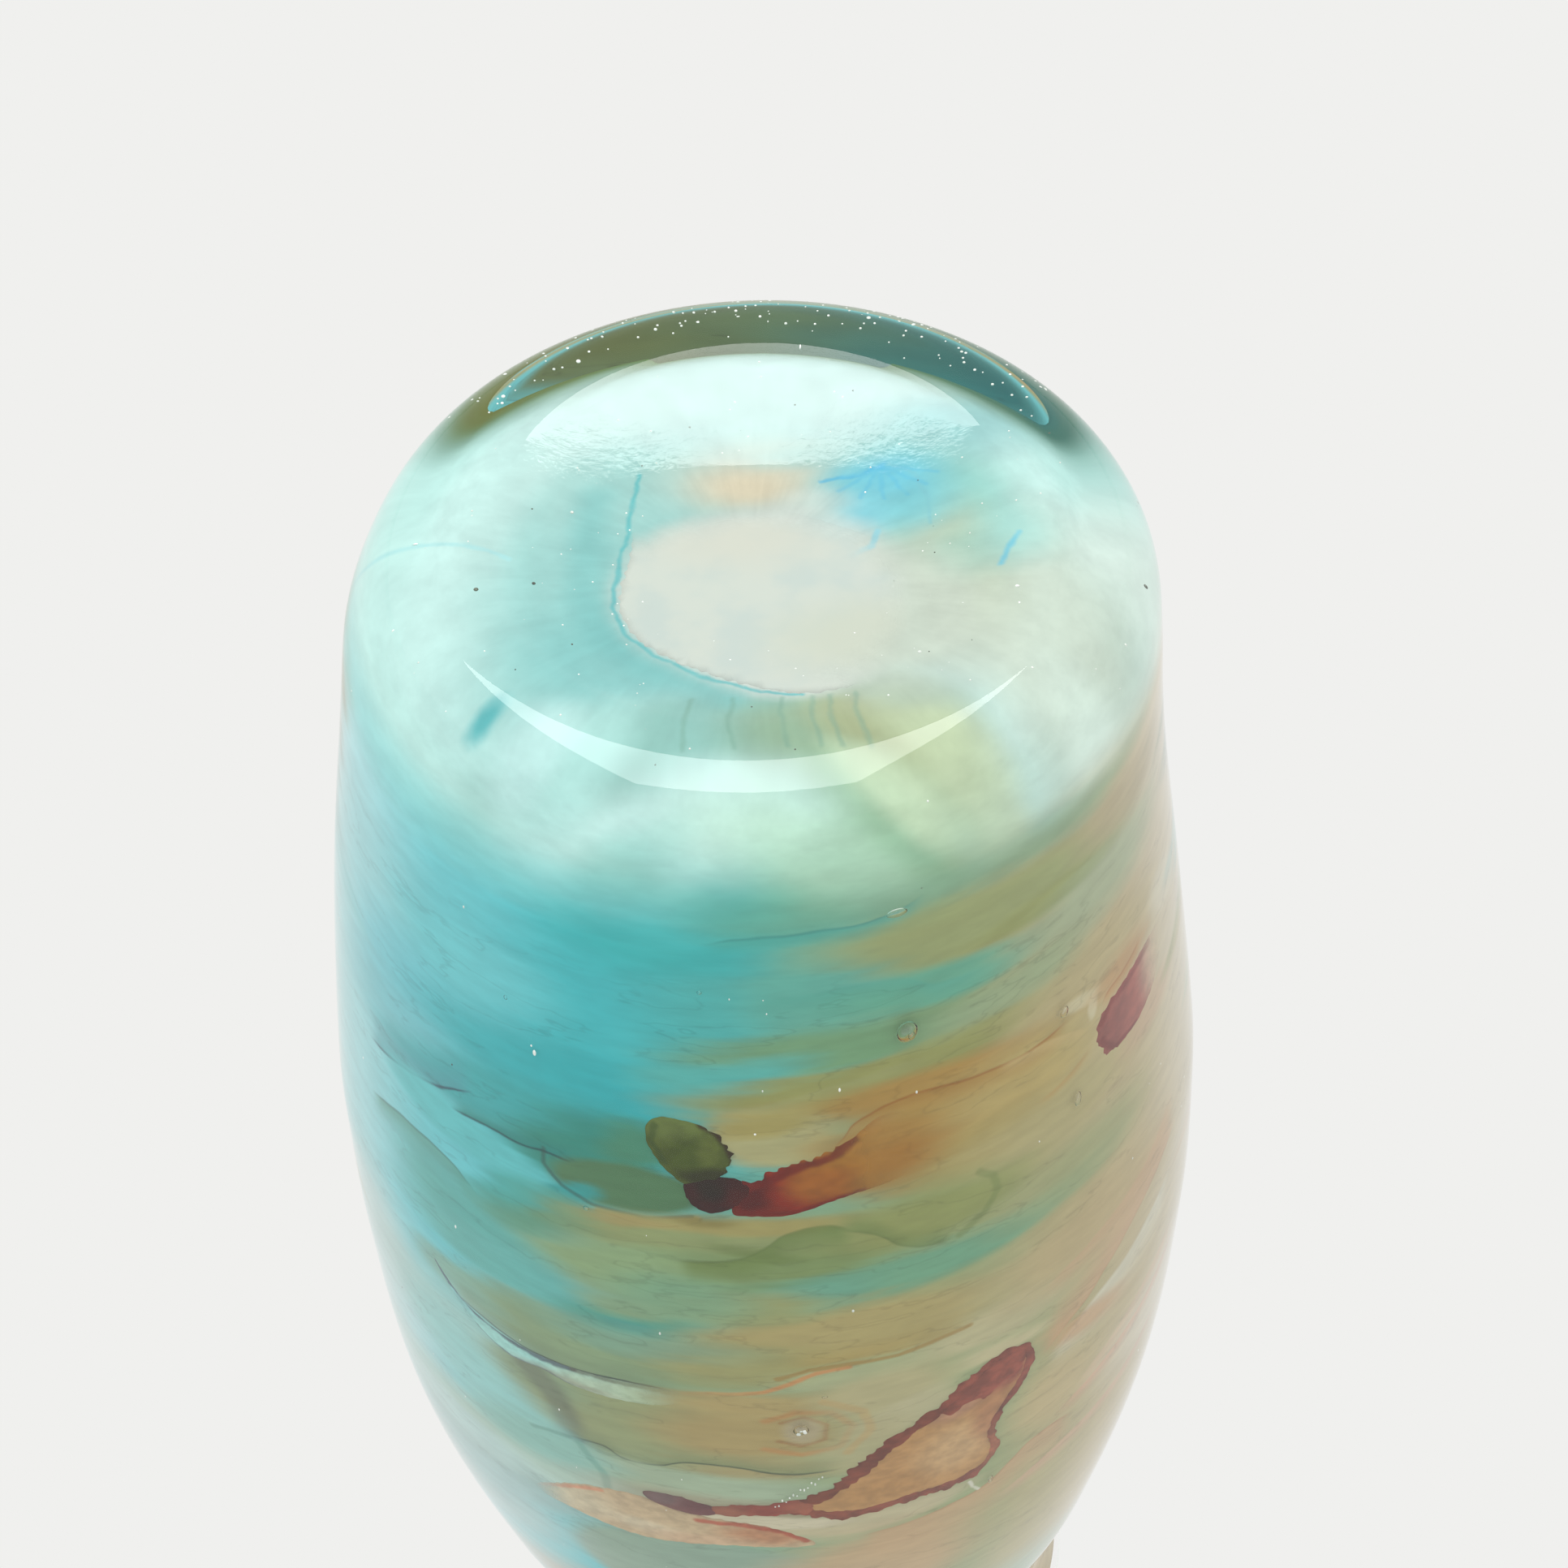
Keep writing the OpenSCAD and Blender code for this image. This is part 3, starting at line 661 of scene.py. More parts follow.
def paint_foot(n, place, x, y):
    flat = n.join(x, y)
    soft_at = warped(n, flat, place, (0.05, 0.05, 0.05), 5.0, 3.0)
    fine_at = warped(n, flat, place, (0.3, 0.3, 0.3), 1.5, 3.0)
    p = Paint(n, ramp(n, n.vec("LENGTH", flat), FOOT_GROUND), soft_at, fine_at)
    p.blobs(
        (0, 42, 40, 16, (160, 186, 182), 0.8, 0.5), (32, -12, 8, 20, (126, 176, 172), 0.7, 0.7),
        (22, -20, 12, 12, (104, 165, 163)), (6, -34, 30, 6, (116, 162, 154), 0.95, 0.5, -4),
        (-9, -36, 12, 6, (122, 149, 122), 0.9), (-19, -33, 12, 7, (142, 152, 116), 0.95, 0.5, 24),
        (-31, -40, 15, 5, (172, 190, 158), 0.7, 0.6, 38), (-21, -46, 12, 6, (128, 162, 126), 0.8, 0.6, 20),
        (2, -56, 34, 6, (66, 160, 150), 0.9), (-18, -55, 15, 8, (100, 150, 116), 0.9),
        (26, -37, 10, 5, (160, 203, 198), 0.7, 0.7, -40), (-12, -50, 20, 4.5, (160, 194, 170), 0.7, 0.6, 14),
        (-40, -14, 11, 22, (174, 186, 172), 0.9), (-46, -29, 5, 8, (196, 216, 206), 0.7, 0.6, -34),
        (-51, 2, 4, 12, (204, 216, 208), 0.6, 0.7), (-28, 10, 12, 16, (120, 174, 166), 0.9, 0.5),
        (-30, -4, 8, 14, (156, 168, 146), 0.95), (-31, 0, 5, 5, (126, 168, 152), 0.9),
        (-39, 3, 5, 6, (136, 186, 180), 0.6, 0.7), (-20, -28, 8, 3, (138, 162, 148), 0.6, 0.6, 16),
        (30, -33, 5, 4, (178, 212, 210), 0.55, 0.7, -30), (-19, -41, 8, 3, (182, 200, 170), 0.6, 0.6, 18),
        (20, -49, 9, 4, (84, 160, 150), 0.5, 0.7, -16), (14, 16, 10, 9, (134, 174, 169)),
        (-32, 29, 12, 7, (120, 168, 168), 0.8, 0.7), (-1, 20, 12, 7, (168, 174, 160), 0.9, 0.7),
        (1, 18, 7, 4, (186, 172, 144), 0.7, 0.8), (-21, 16, 9, 8, (104, 171, 178), 0.95),
        (-21, 19, 6, 3.4, (84, 164, 184), 0.6, 0.9, -6), (-8, 24, 8, 2.4, (138, 176, 172), 0.6, 0.7),
        (-16, 8, 4, 7, (112, 174, 186), 0.7, 0.8, 24), (-2, -6, 22, 19, (173, 182, 175), 1, 0.16, 0, True),
        (-6, -16, 16, 13, (173, 182, 175), 1, 0.16, 0, True), (-22, -12, 14, 16, (166, 177, 164), 0.95, 0.5),
        (-10, 4, 6, 6, (156, 180, 178), 0.6, 0.7), (-9, 13.6, 6, 3, (184, 188, 180), 0.5, 0.7),
    )
    p.line([(16.5, 21), (17.6, 14), (18.6, 6), (19.8, 0), (20.4, -8), (18.6, -14), (14, -19), (8, -23.4), (0, -27),
            (-7, -28.6)],
           0.35, (78, 158, 160), 0.85, 0.9)
    p.line([(23, 16), (24, 4), (25, -6), (22, -16), (14, -23), (4, -29)], 2.6, (98, 162, 160), 0.5, 0.95, False)
    p.line([(-21, 22), (-17, 19.5), (-11, 18.6)], 0.35, (66, 150, 182), 0.6, 0.9)
    p.line([(-21, 22), (-25, 19), (-27, 14), (-27, 8)], 0.3, (104, 164, 172), 0.5, 0.9)
    for k in range(7):
        turn = math.radians(20 + 24 * k)
        end = (-20 + 9 * math.cos(turn), 21 - 7 * math.sin(turn))
        p.line([(-20, 21), end], 0.35, (72, 156, 184), 0.4, 0.9)
    for start in (-4, -8.5, -11, -14.5, 3, 9):
        p.line([(start, -29), (start * 1.05 + 0.6, -33), (start * 1.1, -38)], 0.4, (96, 138, 122), 0.4, 0.9)
    p.line([(-19, 7), (-18, 4), (-14, 1.4)], 0.6, (120, 176, 186), 0.8)
    p.line([(-40.4, 4), (-38.6, 1.4), (-37.2, -2.4)], 0.5, (84, 168, 190), 0.75, 0.9)
    p.blob(35.6, -27, 1.6, 1.8, (58, 152, 156), 0.85, 0.7, 30, True)
    p.line([(52, 8), (47, 6.4), (42, 5), (36, 2)], 0.4, (140, 192, 194), 0.6, 0.9)
    return p.top


def overlay_material():
    """Streaked glass: the wall, the back and the foot, joined at the heel."""
    material, n, shader = new_material("overlay_glass")
    place, azimuth, x, y, z = place_nodes(n)
    front = paint_wall(n, place, azimuth, z)
    back = paint_back(n, place)
    seam = n.cloud(place, (0.02, 0.02, 0.1), 3.0)
    around = n.math("MULTIPLY_ADD", seam, 80.0, n.math("ABSOLUTE", azimuth))
    behind = n.step(around, 121.0, 141.0)
    wall_colour = n.mix(behind, front, back)
    # the wall's colour comes further down round the far heel
    above = n.math("MULTIPLY_ADD", n.step(y, 15.0, 40.0), 4.5, z)
    colour = n.mix(n.step(above, 17.0, 24.0), paint_foot(n, place, x, y), wall_colour)
    grain = n.cloud(place, (0.12, 0.12, 0.5), 5.0, 0.6)
    shade = n.step(grain, 0.25, 0.75, 0.93, 1.07)
    # thin darker threads drawn out round the wall, and fibres that run outwards under the foot
    drawn = n.cloud(place, (0.03, 0.03, 0.13), 4.0, 0.55)
    thread = n.step(n.math("ABSOLUTE", n.math("SUBTRACT", drawn, 0.5)), 0.012, 0.0)
    reach = n.vec("LENGTH", n.join(x, y))
    fan = n.join(n.times(azimuth, 0.22), n.times(reach, 0.05), z)
    fibre = n.noise(fan, 1.0, 5.0, 0.65).outputs[0]
    foot = n.step(z, 20.0, 14.0)
    fibre_shade = n.times(n.step(fibre, 0.3, 0.7, -0.035, 0.035), foot)
    inking = n.math("MULTIPLY_ADD", behind, -0.12, -0.14)
    thread_shade = n.times(n.times(thread, inking), n.step(z, 26.0, 40.0))
    shade = n.math("ADD", shade, n.math("ADD", fibre_shade, thread_shade))
    n.put(shader["Base Color"], n.mix(1.0, colour, shade, "MULTIPLY"))
    shader["Roughness"].default_value = 0.6
    shader["Specular IOR Level"].default_value = 0
    return material


# ---------------------------------------------------------------- materials
def new_material(name):
    material = bpy.data.materials.new(name)
    material.use_nodes = True
    nodes = Nodes(material.node_tree)
    shader = material.node_tree.nodes["Principled BSDF"]
    return material, nodes, shader.inputs


# heights of the casing's waves and of the worn ring under the foot, in millimetres
SWELL, WEAR = 0.07, 0.05


def clear_glass():
    material, n, shader = new_material("clear_glass")
    shader["Base Color"].default_value = (1, 1, 1, 1)
    shader["Transmission Weight"].default_value = 1
    shader["IOR"].default_value = 1.5
    shader["Roughness"].default_value = 0.0
    place, _, x, y, z = place_nodes(n)
    swell = n.cloud(place, (0.04, 0.04, 0.06), 1.0)
    worn = n.cloud(place, (0.7, 0.7, 0.3), 4.0, 0.6)
    reach = n.vec("LENGTH", n.join(x, y))
    ring = n.times(n.step(reach, 17.0, 27.0), n.step(reach, 40.0, 33.0))
    ring = n.times(ring, n.times(n.step(y, 4.0, 20.0), n.step(z, 9.0, 5.0)))
    height = n.math("ADD", n.times(swell, SWELL), n.times(n.times(worn, ring), WEAR))
    bump = n.add("Bump")
    bump.inputs["Distance"].default_value = MM
    n.put(bump.inputs["Height"], height)
    n.put(shader["Normal"], bump.outputs[0])
    return material


def opal_glass():
    material, n, shader = new_material("opal_glass")
    place = place_nodes(n)[0]
    cloud = n.cloud(place, (0.03, 0.03, 0.06), 4.0)
    n.put(shader["Base Color"], n.mix(n.step(cloud, 0.3, 0.7), rgb(236, 238, 230), rgb(216, 228, 222)))
    shader["Roughness"].default_value = 0.15
    return material


glass = clear_glass()
coloured = overlay_material()


# ---------------------------------------------------------------- glass shards
def on_wall(azimuth, z, lift):
    """A place over the overlay's outer face, from an azimuth in degrees, a height and a lift."""
    a = math.radians(azimuth)
    r = curve(STATIONS, z) - CASING + lift
    return swayed(math.sin(a) * r, -math.cos(a) * r, z)


def on_foot(x, y, lift):
    return swayed(x, y, FLOOR - lift)


def smooth_loop(corners, spacing, teeth, seed):
    """A closed curve through corners, with ragged teeth of a size that depends on the place."""
    count = len(corners)
    loop = []
    for k in range(count):
        a, b, c, d = (Vector(corners[(k + i - 1) % count]) for i in range(4))
        steps = max(int((c - b).length / spacing), 1)
        for i in range(steps):
            t = i / steps
            loop.append((2 * b + (c - a) * t + (2 * a - 5 * b + 4 * c - d) * t**2
                         + (3 * b - a - 3 * c + d) * t**3) / 2)
    ragged = []
    for k, point in enumerate(loop):
        along = loop[(k + 1) % len(loop)] - loop[k - 1]
        across = Vector((along.y, -along.x)).normalized()
        bite = noise.noise(Vector((point.x * 0.95, point.y * 0.95, seed)))
        ragged.append(point + across * teeth(point) * bite)
    return ragged


def shard(name, corners, material, place=on_wall, height=0.5, edge=1.6, teeth=lambda p: 0.25, spacing=0.4):
    """A lens of glass on the overlay: a flat outline, raised by up to a height within an edge."""
    loop = smooth_loop(corners, spacing, teeth, len(name))
    low = Vector((min(p.x for p in loop), min(p.y for p in loop)))
    high = Vector((max(p.x for p in loop), max(p.y for p in loop)))
    step = max((high - low).length / 34, 0.5)
    inside = []
    for i in range(int((high.x - low.x) / step) + 1):
        for k in range(int((high.y - low.y) / step) + 1):
            inside.append(low + Vector((i + 0.5 * (k % 2), k)) * step)
    kept = [p for p in inside if min((p - q).length for q in loop) > 0.6 * spacing]
    count = len(loop)
    flat, _, triangles, *_ = delaunay_2d_cdt(loop + kept, [], [list(range(count))], 1, 1e-5)
    used = sorted({i for face in triangles for i in face})
    index = {old: new for new, old in enumerate(used)}
    verts = []
    for side in (1, 0):
        for i in used:
            p = flat[i]
            share = min(min((p - q).length for q in loop) / edge, 1)
            verts.append(place(p.x, p.y, 0.05 + height * math.sqrt(share) if side else -0.3))
    top = [[index[i] for i in face] for face in triangles]
    below = [[i + len(used) for i in reversed(face)] for face in top]
    edges = {}
    for face in top:
        for a, b in zip(face, face[1:] + face[:1]):
            edges[(a, b)] = edges.get((a, b), 0) + 1
    rim = [(a, b) for a, b in edges if (b, a) not in edges]
    sides = [[b, a, a + len(used), b + len(used)] for a, b in rim]
    return add_mesh(name, verts, top + below + sides, material)


def bead_line(name, corners, width, material, height=0.6, closed=True, seed=3.0):
    """A beaded strip of glass along a curve, flat below and rounded above."""
    loop = smooth_loop(corners, 0.5, lambda p: 0.2, seed)
    count = len(loop)
    if not closed:
        count = max(k for k, p in enumerate(loop) if (p - Vector(corners[-1])).length < 0.6) + 1
        loop = loop[:count]
    verts, faces = [], []
    for k, point in enumerate(loop):
        ahead = loop[(k + 1) % count] if closed or k < count - 1 else point
        behind = loop[k - 1] if closed or k else point
        along = (ahead - behind).normalized()
        across = Vector((along.y, -along.x))
        bead = 0.5 + 1.2 * noise.noise(Vector((point.x * 0.8, point.y * 0.8, seed)))
        taper = 1 if closed else min(1, 0.15 + min(k, count - 1 - k) / 8)
        half = width(point) * (0.55 + 0.9 * bead) * taper
        for share, lift in ((-1, -0.3), (-1, 0.05), (-0.6, 0.7), (0, 1), (0.6, 0.7), (1, 0.05), (1, -0.3)):
            p = point + across * half * share
            verts.append(on_wall(p.x, p.y, lift * height * taper if lift > 0.1 else lift))
    for k in range(count if closed else count - 1):
        for i in range(7):
            j = (i + 1) % 7
            a, b = k * 7, (k + 1) % count * 7
            faces.append([a + i, a + j, b + j, b + i])
    if not closed:
        faces += [list(range(7)), list(range(count * 7 - 7, count * 7))]
    return add_mesh(name, verts, faces, material)


def shard_glass(name, ground, spots, lines=(), fade=None, grain=0.5):
    """Coloured glass of a shard, painted in azimuth and height, faded over a range of azimuth."""
    material, n, shader = new_material(name)
    place, azimuth, _, _, z = place_nodes(n)
    flat = n.join(azimuth, z)
    soft_at = warped(n, flat, place, (0.1, 0.1, 0.2), 3.0)
    fine_at = warped(n, flat, place, (0.4, 0.4, 0.4), 1.0)
    cloud = n.cloud(place, (0.35, 0.35, 0.5), 4.0, 0.6)
    p = Paint(n, rgb(*ground), soft_at, fine_at)
    p.blobs(*spots)
    for line in lines:
        p.line(*line)
    shade = n.step(cloud, 0.3, 0.7, 1 - 0.3 * grain, 1 + 0.3 * grain)
    n.put(shader["Base Color"], n.mix(1.0, p.top, shade, "MULTIPLY"))
    shader["Roughness"].default_value = 0.4
    shader["Specular IOR Level"].default_value = 0
    if fade:
        n.put(shader["Alpha"], n.step(n.split(soft_at)[0], fade[0], fade[1]))
    return material


def even(size):
    """Teeth of one size all round."""
    return lambda p: size


def near_box(low, high, size, other):
    """Teeth of one size inside a box of the outline, and another size elsewhere."""
    return lambda p: size if low[0] <= p.x <= high[0] and low[1] <= p.y <= high[1] else other


LEAF = [
    (-1, 148.5), (-5, 146.4), (-8, 143.5), (-11, 139.6), (-13.5, 136), (-16, 133.4), (-19, 131), (-23, 128),
    (-26, 125), (-30, 122), (-34.6, 123), (-35.4, 127), (-34, 131), (-31, 136), (-29.6, 141), (-30.4, 146),
    (-28.6, 150), (-25, 151.4), (-18, 151.2), (-10, 152.2), (-6, 151.4),
]
SHARDS = [
    # name, slot, outline, ground colour, spots, lines, fade, height, edge, teeth
    ("olive_shard", "olive_glass",
     [(14, 58.8), (15.6, 61.5), (14.6, 66), (11.6, 70.6), (9, 71.5), (5.4, 69), (4.2, 66), (5.2, 62.4), (7, 60.2),
      (10, 58.8)],
     (70, 84, 24),
     [(13, 60, 5, 3, (92, 108, 52)), (11, 65, 3, 3, (58, 74, 14)), (8, 64, 1.6, 3, (84, 96, 36)),
      (8, 69, 4, 1.6, (34, 36, 4), 0.9)],
     [([(9, 59), (6.8, 60.6), (5.4, 63), (4.4, 66), (5.2, 69)], 0.7, (46, 26, 4), 0.9),
      ([(15, 60), (15.6, 63), (14, 67)], 0.5, (44, 66, 22), 0.6)],
     None, 0.8, 2.2, near_box((2, 58), (7.5, 72), 0.9, 0.2)),
    ("maroon_shard", "maroon_glass",
     [(10.5, 71), (7.5, 69.5), (4, 69.8), (1.6, 71.5), (2.2, 74), (5, 76), (7.5, 77), (10, 75)],
     (46, 5, 2),
     [(4, 73, 2, 2, (66, 8, 2), 0.9), (8, 71, 2, 2, (22, 14, 0), 0.9)], [],
     None, 0.95, 1.8, near_box((0, 68), (5, 78), 0.5, 0.2)),
    ("rust_ribbon", "rust_glass",
     [(3.5, 71), (1, 69.8), (-2, 68), (-5, 67), (-8, 66), (-12, 63.5), (-16, 60.5), (-20, 62), (-21.6, 69),
      (-18, 73.4), (-13, 74.6), (-9, 75.5), (-3, 77.5), (2, 77.4), (4.5, 76.5)],
     (124, 30, 4),
     [(-13, 67, 9, 7, (150, 102, 28), 1), (-21, 66, 7, 8, (164, 130, 66), 1), (-7, 71, 4, 3, (146, 86, 22), 0.9),
      (-16, 74, 6, 3, (134, 92, 22)), (2.6, 73, 3, 4, (70, 2, 0), 0.95)],
     [([(3.4, 71.4), (0.6, 70.2), (-2, 68.4), (-5, 67.4), (-8, 66.4), (-11, 64)], 0.8, (96, 14, 4), 0.85),
      ([(4, 76.4), (-1, 77), (-4, 77), (-9, 75.2), (-12, 74.6)], 0.8, (100, 14, 2), 0.85)],
     (-19.5, -8), 0.7, 2.0, near_box((-10, 64), (4, 71.6), 0.9, 0.2)),
    ("plum_shard", "plum_glass",
     [(-52, 66), (-54, 64.4), (-57, 64), (-60, 63.5), (-66, 63), (-71, 64.5), (-69, 71), (-62, 74.5), (-54, 74),
      (-51.5, 70)],
     (146, 78, 66),
     [(-54, 68, 4, 6, (130, 70, 62), 0.9), (-68, 66, 5, 7, (178, 144, 124), 0.95)],
     [([(-52, 66.4), (-54, 64.4), (-60, 64), (-66, 63.4)], 0.6, (116, 46, 40), 0.8),
      ([(-51.6, 69.6), (-54, 73.6), (-60, 74.4)], 0.6, (112, 44, 40), 0.8)],
     (-71, -61), 0.7, 2.4, near_box((-56, 62), (-50, 75), 0.9, 0.3)),
    ("amber_leaf", "amber_glass", LEAF, (168, 128, 78),
     [(-24, 141, 5, 6, (182, 150, 106), 0.9, 0.7), (-14, 147, 6, 3, (162, 122, 72), 0.8, 0.7),
      (-24, 130, 4, 3, (164, 122, 96)), (-31, 127, 4, 3.6, (138, 74, 56), 1, 0.5),
      (-30, 136, 3, 6, (160, 112, 76))], [],
     None, 0.35, 1.6, even(0.2)),
    ("plum_chip", "plum_chip_glass",
     [(19.6, 148), (18, 147.4), (14.5, 147.3), (11.5, 148.4), (9, 149.8), (10.6, 151.8), (14, 151.8), (17.6, 150.7),
      (19.4, 149.6)],
     (104, 66, 62),
     [(17, 148.6, 3, 2, (98, 80, 78)), (11, 150, 3, 2, (92, 50, 52))], [],
     None, 0.9, 1.4, even(0.35)),
    ("rust_thread", "rust_thread_glass",
     [(11, 150), (8.5, 148.5), (6, 147.8), (3, 148), (1, 147), (-1.6, 146.4), (-4, 147.4), (-4, 150.8), (-1, 150.4),
      (1, 150.8), (3.6, 150.8), (6, 151.2), (8, 151.4)],
     (128, 56, 42),
     [(8, 149.6, 3, 2, (134, 84, 62)), (-3, 148.6, 3, 2, (142, 82, 58))], [],
     None, 0.7, 1.0, even(0.5)),
    ("blue_sliver", "pale_blue_glass",
     [(51, 112), (45, 117.5), (36, 119.5), (27, 119), (18, 118), (12, 118.5), (15, 122), (22, 123.4), (28, 123.6),
      (33, 122.8), (39, 123.5), (46, 119)],
     (146, 202, 194),
     [(21, 121.4, 9, 4, (166, 190, 164), 1), (47, 116, 5, 4, (122, 184, 184)),
      (30, 123, 7, 1.6, (136, 128, 104), 0.6, 0.7)],
     [([(52, 111), (48, 115.2), (44, 117.8), (39, 119.2), (34, 119.8), (28, 119.3)], 0.6, (58, 72, 86), 0.85),
      ([(28, 119.3), (22, 118.6), (17, 118.3), (12, 118.8)], 0.5, (84, 86, 66), 0.7),
      ([(46, 119.6), (42, 122.4), (38, 123.6), (32, 122.8), (28, 124)], 0.4, (86, 92, 96), 0.7)],
     (12, 25), 0.5, 2.0, even(0.15)),
    ("peach_ribbon", "peach_glass",
     [(38, 160.5), (31, 153.4), (26, 150.8), (22, 149.8), (18.6, 150), (14.6, 151.4), (9.5, 152.6), (2, 154.5),
      (-4, 160.5), (8, 160.6), (20, 162.4), (31, 161.6)],
     (178, 158, 124),
     [(30, 157, 5, 4, (186, 176, 146), 0.9, 0.7), (20, 158.6, 5, 2, (192, 180, 150), 0.9),
      (3, 157, 6, 3, (168, 120, 84), 0.95), (12, 160, 7, 2, (184, 156, 124))],
     [([(12, 153.6), (7, 153.8), (3, 154.6), (0, 156), (-3, 159)], 0.6, (160, 70, 44), 0.85),
      ([(38, 160), (34, 156.6), (31, 154.2), (26, 151.6)], 0.4, (200, 128, 92), 0.7)],
     (39, 30), 0.15, 1.6, even(0.3)),
]


# ---------------------------------------------------------------- the pieces
def keep(obj, slot, *nodes):
    """Every piece rides the one body; it may stand for CAD nodes."""
    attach(obj, "root")
    if nodes:
        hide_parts(*nodes)
    return obj


# how far the layers reach into each other, in millimetres
HIDDEN, TUCKED, OVERLAP, APART = 0.3, 0.4, 0.5, 0.05
OPAL_FLOOR = 4
lip_z = HEIGHT - LIP / 2
outer = punt() + heel(0, 0, HEEL_W, HEEL_H, HEEL_POWER) + wall(0, HEEL_H, lip_z) + bead(lip_z)
inner = vessel(CASING + HIDDEN, FLOOR + HIDDEN, lip_z - TUCKED)
lip_inner = curve(STATIONS, lip_z) - LIP + OVERLAP
casing = lathe("casing", outer + [(lip_inner, lip_z - TUCKED)] + inner[::-1], glass)
casing.visible_shadow = casing.visible_diffuse = False
shell = vessel(CASING, FLOOR, lip_z)
shell_in = vessel(CASING + OVERLAY, FLOOR + OVERLAY, lip_z)
overlay = lathe("overlay", shell + shell_in[::-1], coloured)
cavity = vessel(LIP, FLOOR + OVERLAY + OPAL_FLOOR, lip_z)
core = vessel(CASING + OVERLAY + APART, FLOOR + OVERLAY + APART, lip_z)
opal = lathe("opal", core + cavity[::-1], opal_glass())
keep(casing, "clear_glass", "clear_casing")
keep(overlay, "overlay_glass", "colour_overlay")
keep(opal, "opal_glass", "opal_core")

for name, slot, corners, ground, spots, lines, fade, height, edge, teeth in SHARDS:
    material = shard_glass(slot, ground, spots, lines, fade)
    piece = shard(name + "_lens", corners, material, on_wall, height, edge, teeth)
    piece.visible_diffuse = piece.visible_shadow = not fade
    keep(piece, slot, name)

RIM = [
    (-30, 127, 7, 6, (132, 66, 50), 0.9, 0.5), (-30, 146, 3, 6, (158, 96, 66)), (-8, 147, 5, 4, (112, 54, 30)),
    (-18, 151.4, 12, 2, (128, 66, 46)),
]
rim_glass = shard_glass("dark_rim_glass", (112, 54, 36), RIM, grain=1.0)
beads = bead_line("leaf_rim_beads", LEAF, lambda p: 0.7 if p.x < -27.5 else 1.2, rim_glass)
keep(beads, "dark_rim_glass", "leaf_rim")
KNOB = [
    (-21.4, 129.4), (-25, 126.4), (-27.6, 123.6), (-31, 122), (-34.8, 122.8), (-34.8, 126), (-33.4, 128.8),
    (-31, 129), (-28.6, 130.8), (-26, 130), (-23.4, 131.4),
]
knob = shard("leaf_knob", KNOB, rim_glass, on_wall, 0.9, 2.0, even(0.5))
keep(knob, "dark_rim_glass")


def patch_material():
    """Bare opal under the foot, faded where the overlay thins out over it."""
    material, n, shader = new_material("patch_glass")
    place, _, x, y, _ = place_nodes(n)
    cloud = n.cloud(place, (0.12, 0.12, 0.12), 4.0)
    at = warped(n, n.join(x, y), place, (0.15, 0.15, 0.15), 3.0)
    p = Paint(n, n.mix(n.step(cloud, 0.35, 0.65), rgb(176, 184, 175), rgb(168, 180, 174)), at, at)
    p.blobs((-16, -16, 12, 8, (174, 180, 164), 0.8, 0.7), (2, 8, 12, 7, (180, 181, 168), 0.6, 0.7))
    n.put(shader["Base Color"], p.top)
    away = n.vec("LENGTH", n.vec("DIVIDE", n.vec("SUBTRACT", at, (0, -8, 0)), (25, 22, ENDLESS)))
    edge = n.step(away, 1.0, 0.72)
    slanted = n.math("ADD", x, n.times(y, -0.8))
    crisp = n.times(n.step(slanted, 4.0, 12.0), n.step(y, 10.0, 2.0))
    n.put(shader["Alpha"], n.math("MAXIMUM", edge, crisp))
    shader["Roughness"].default_value = 0.4
    shader["Specular IOR Level"].default_value = 0
    return material


PATCH = [
    (14, 15), (17.6, 10), (18.4, 4), (19.6, -3), (20, -9), (17.6, -14.6), (12.6, -19.6), (6, -23.6), (0, -26.4),
    (-7, -28.2), (-14, -27), (-22, -22), (-27, -14), (-27, -5), (-22, 3), (-14, 8), (-6, 12), (4, 16),
]
window = shard("bare_patch", PATCH, patch_material(), on_foot, 0.03, 1.0, lambda p: 0.6 if p.x - p.y > 8 else 0.2)
window.visible_shadow = window.visible_diffuse = False
keep(window, "patch_glass", "base_patch")


# ---------------------------------------------------------------- bubbles, dust and painted bubble glints in the clear glass
def ball(verts, faces, centre, size, turn, rings=8):
    """A small ellipsoid added to a list of vertices and faces."""
    start = len(verts)
    sides = 2 * rings
    for i in range(rings + 1):
        for k in range(sides):
            a, b = math.pi * i / rings, 2 * math.pi * k / sides
            shape = Vector((math.sin(a) * math.cos(b), math.sin(a) * math.sin(b), math.cos(a)))
            verts.append(centre + turn @ Vector((shape.x * size[0], shape.y * size[1], shape.z * size[2])) * MM)
    for i in range(rings):
        for k in range(sides):
            j = (k + 1) % sides
            faces.append([start + i * sides + k, start + (i + 1) * sides + k, start + (i + 1) * sides + j,
                          start + i * sides + j])


def facing(azimuth):
    """A turn that brings x round the wall, y up it and z out of it."""
    a = math.radians(azimuth)
    out = Vector((math.sin(a), -math.cos(a), 0))
    return Matrix((Vector((math.cos(a), math.sin(a), 0)), Vector((0, 0, 1)), out)).transposed()


def many_balls(name, balls, material, inwards):
    """Ellipsoids as one object, with their faces turned inwards for hollows."""
    verts, faces = [], []
    for centre, size, turn in balls:
        ball(verts, faces, centre, size, turn)
    return add_mesh(name, verts, [face[::-1] for face in faces] if inwards else faces, material, False)


def dust_and_glint_material(name, colour, other):
    material, n, shader = new_material(name)
    place = place_nodes(n)[0]
    cloud = n.cloud(place, (0.5, 0.5, 0.5))
    n.put(shader["Base Color"], n.mix(n.step(cloud, 0.4, 0.6), rgb(*colour), rgb(*other)))
    shader["Roughness"].default_value = 0.5
    return material


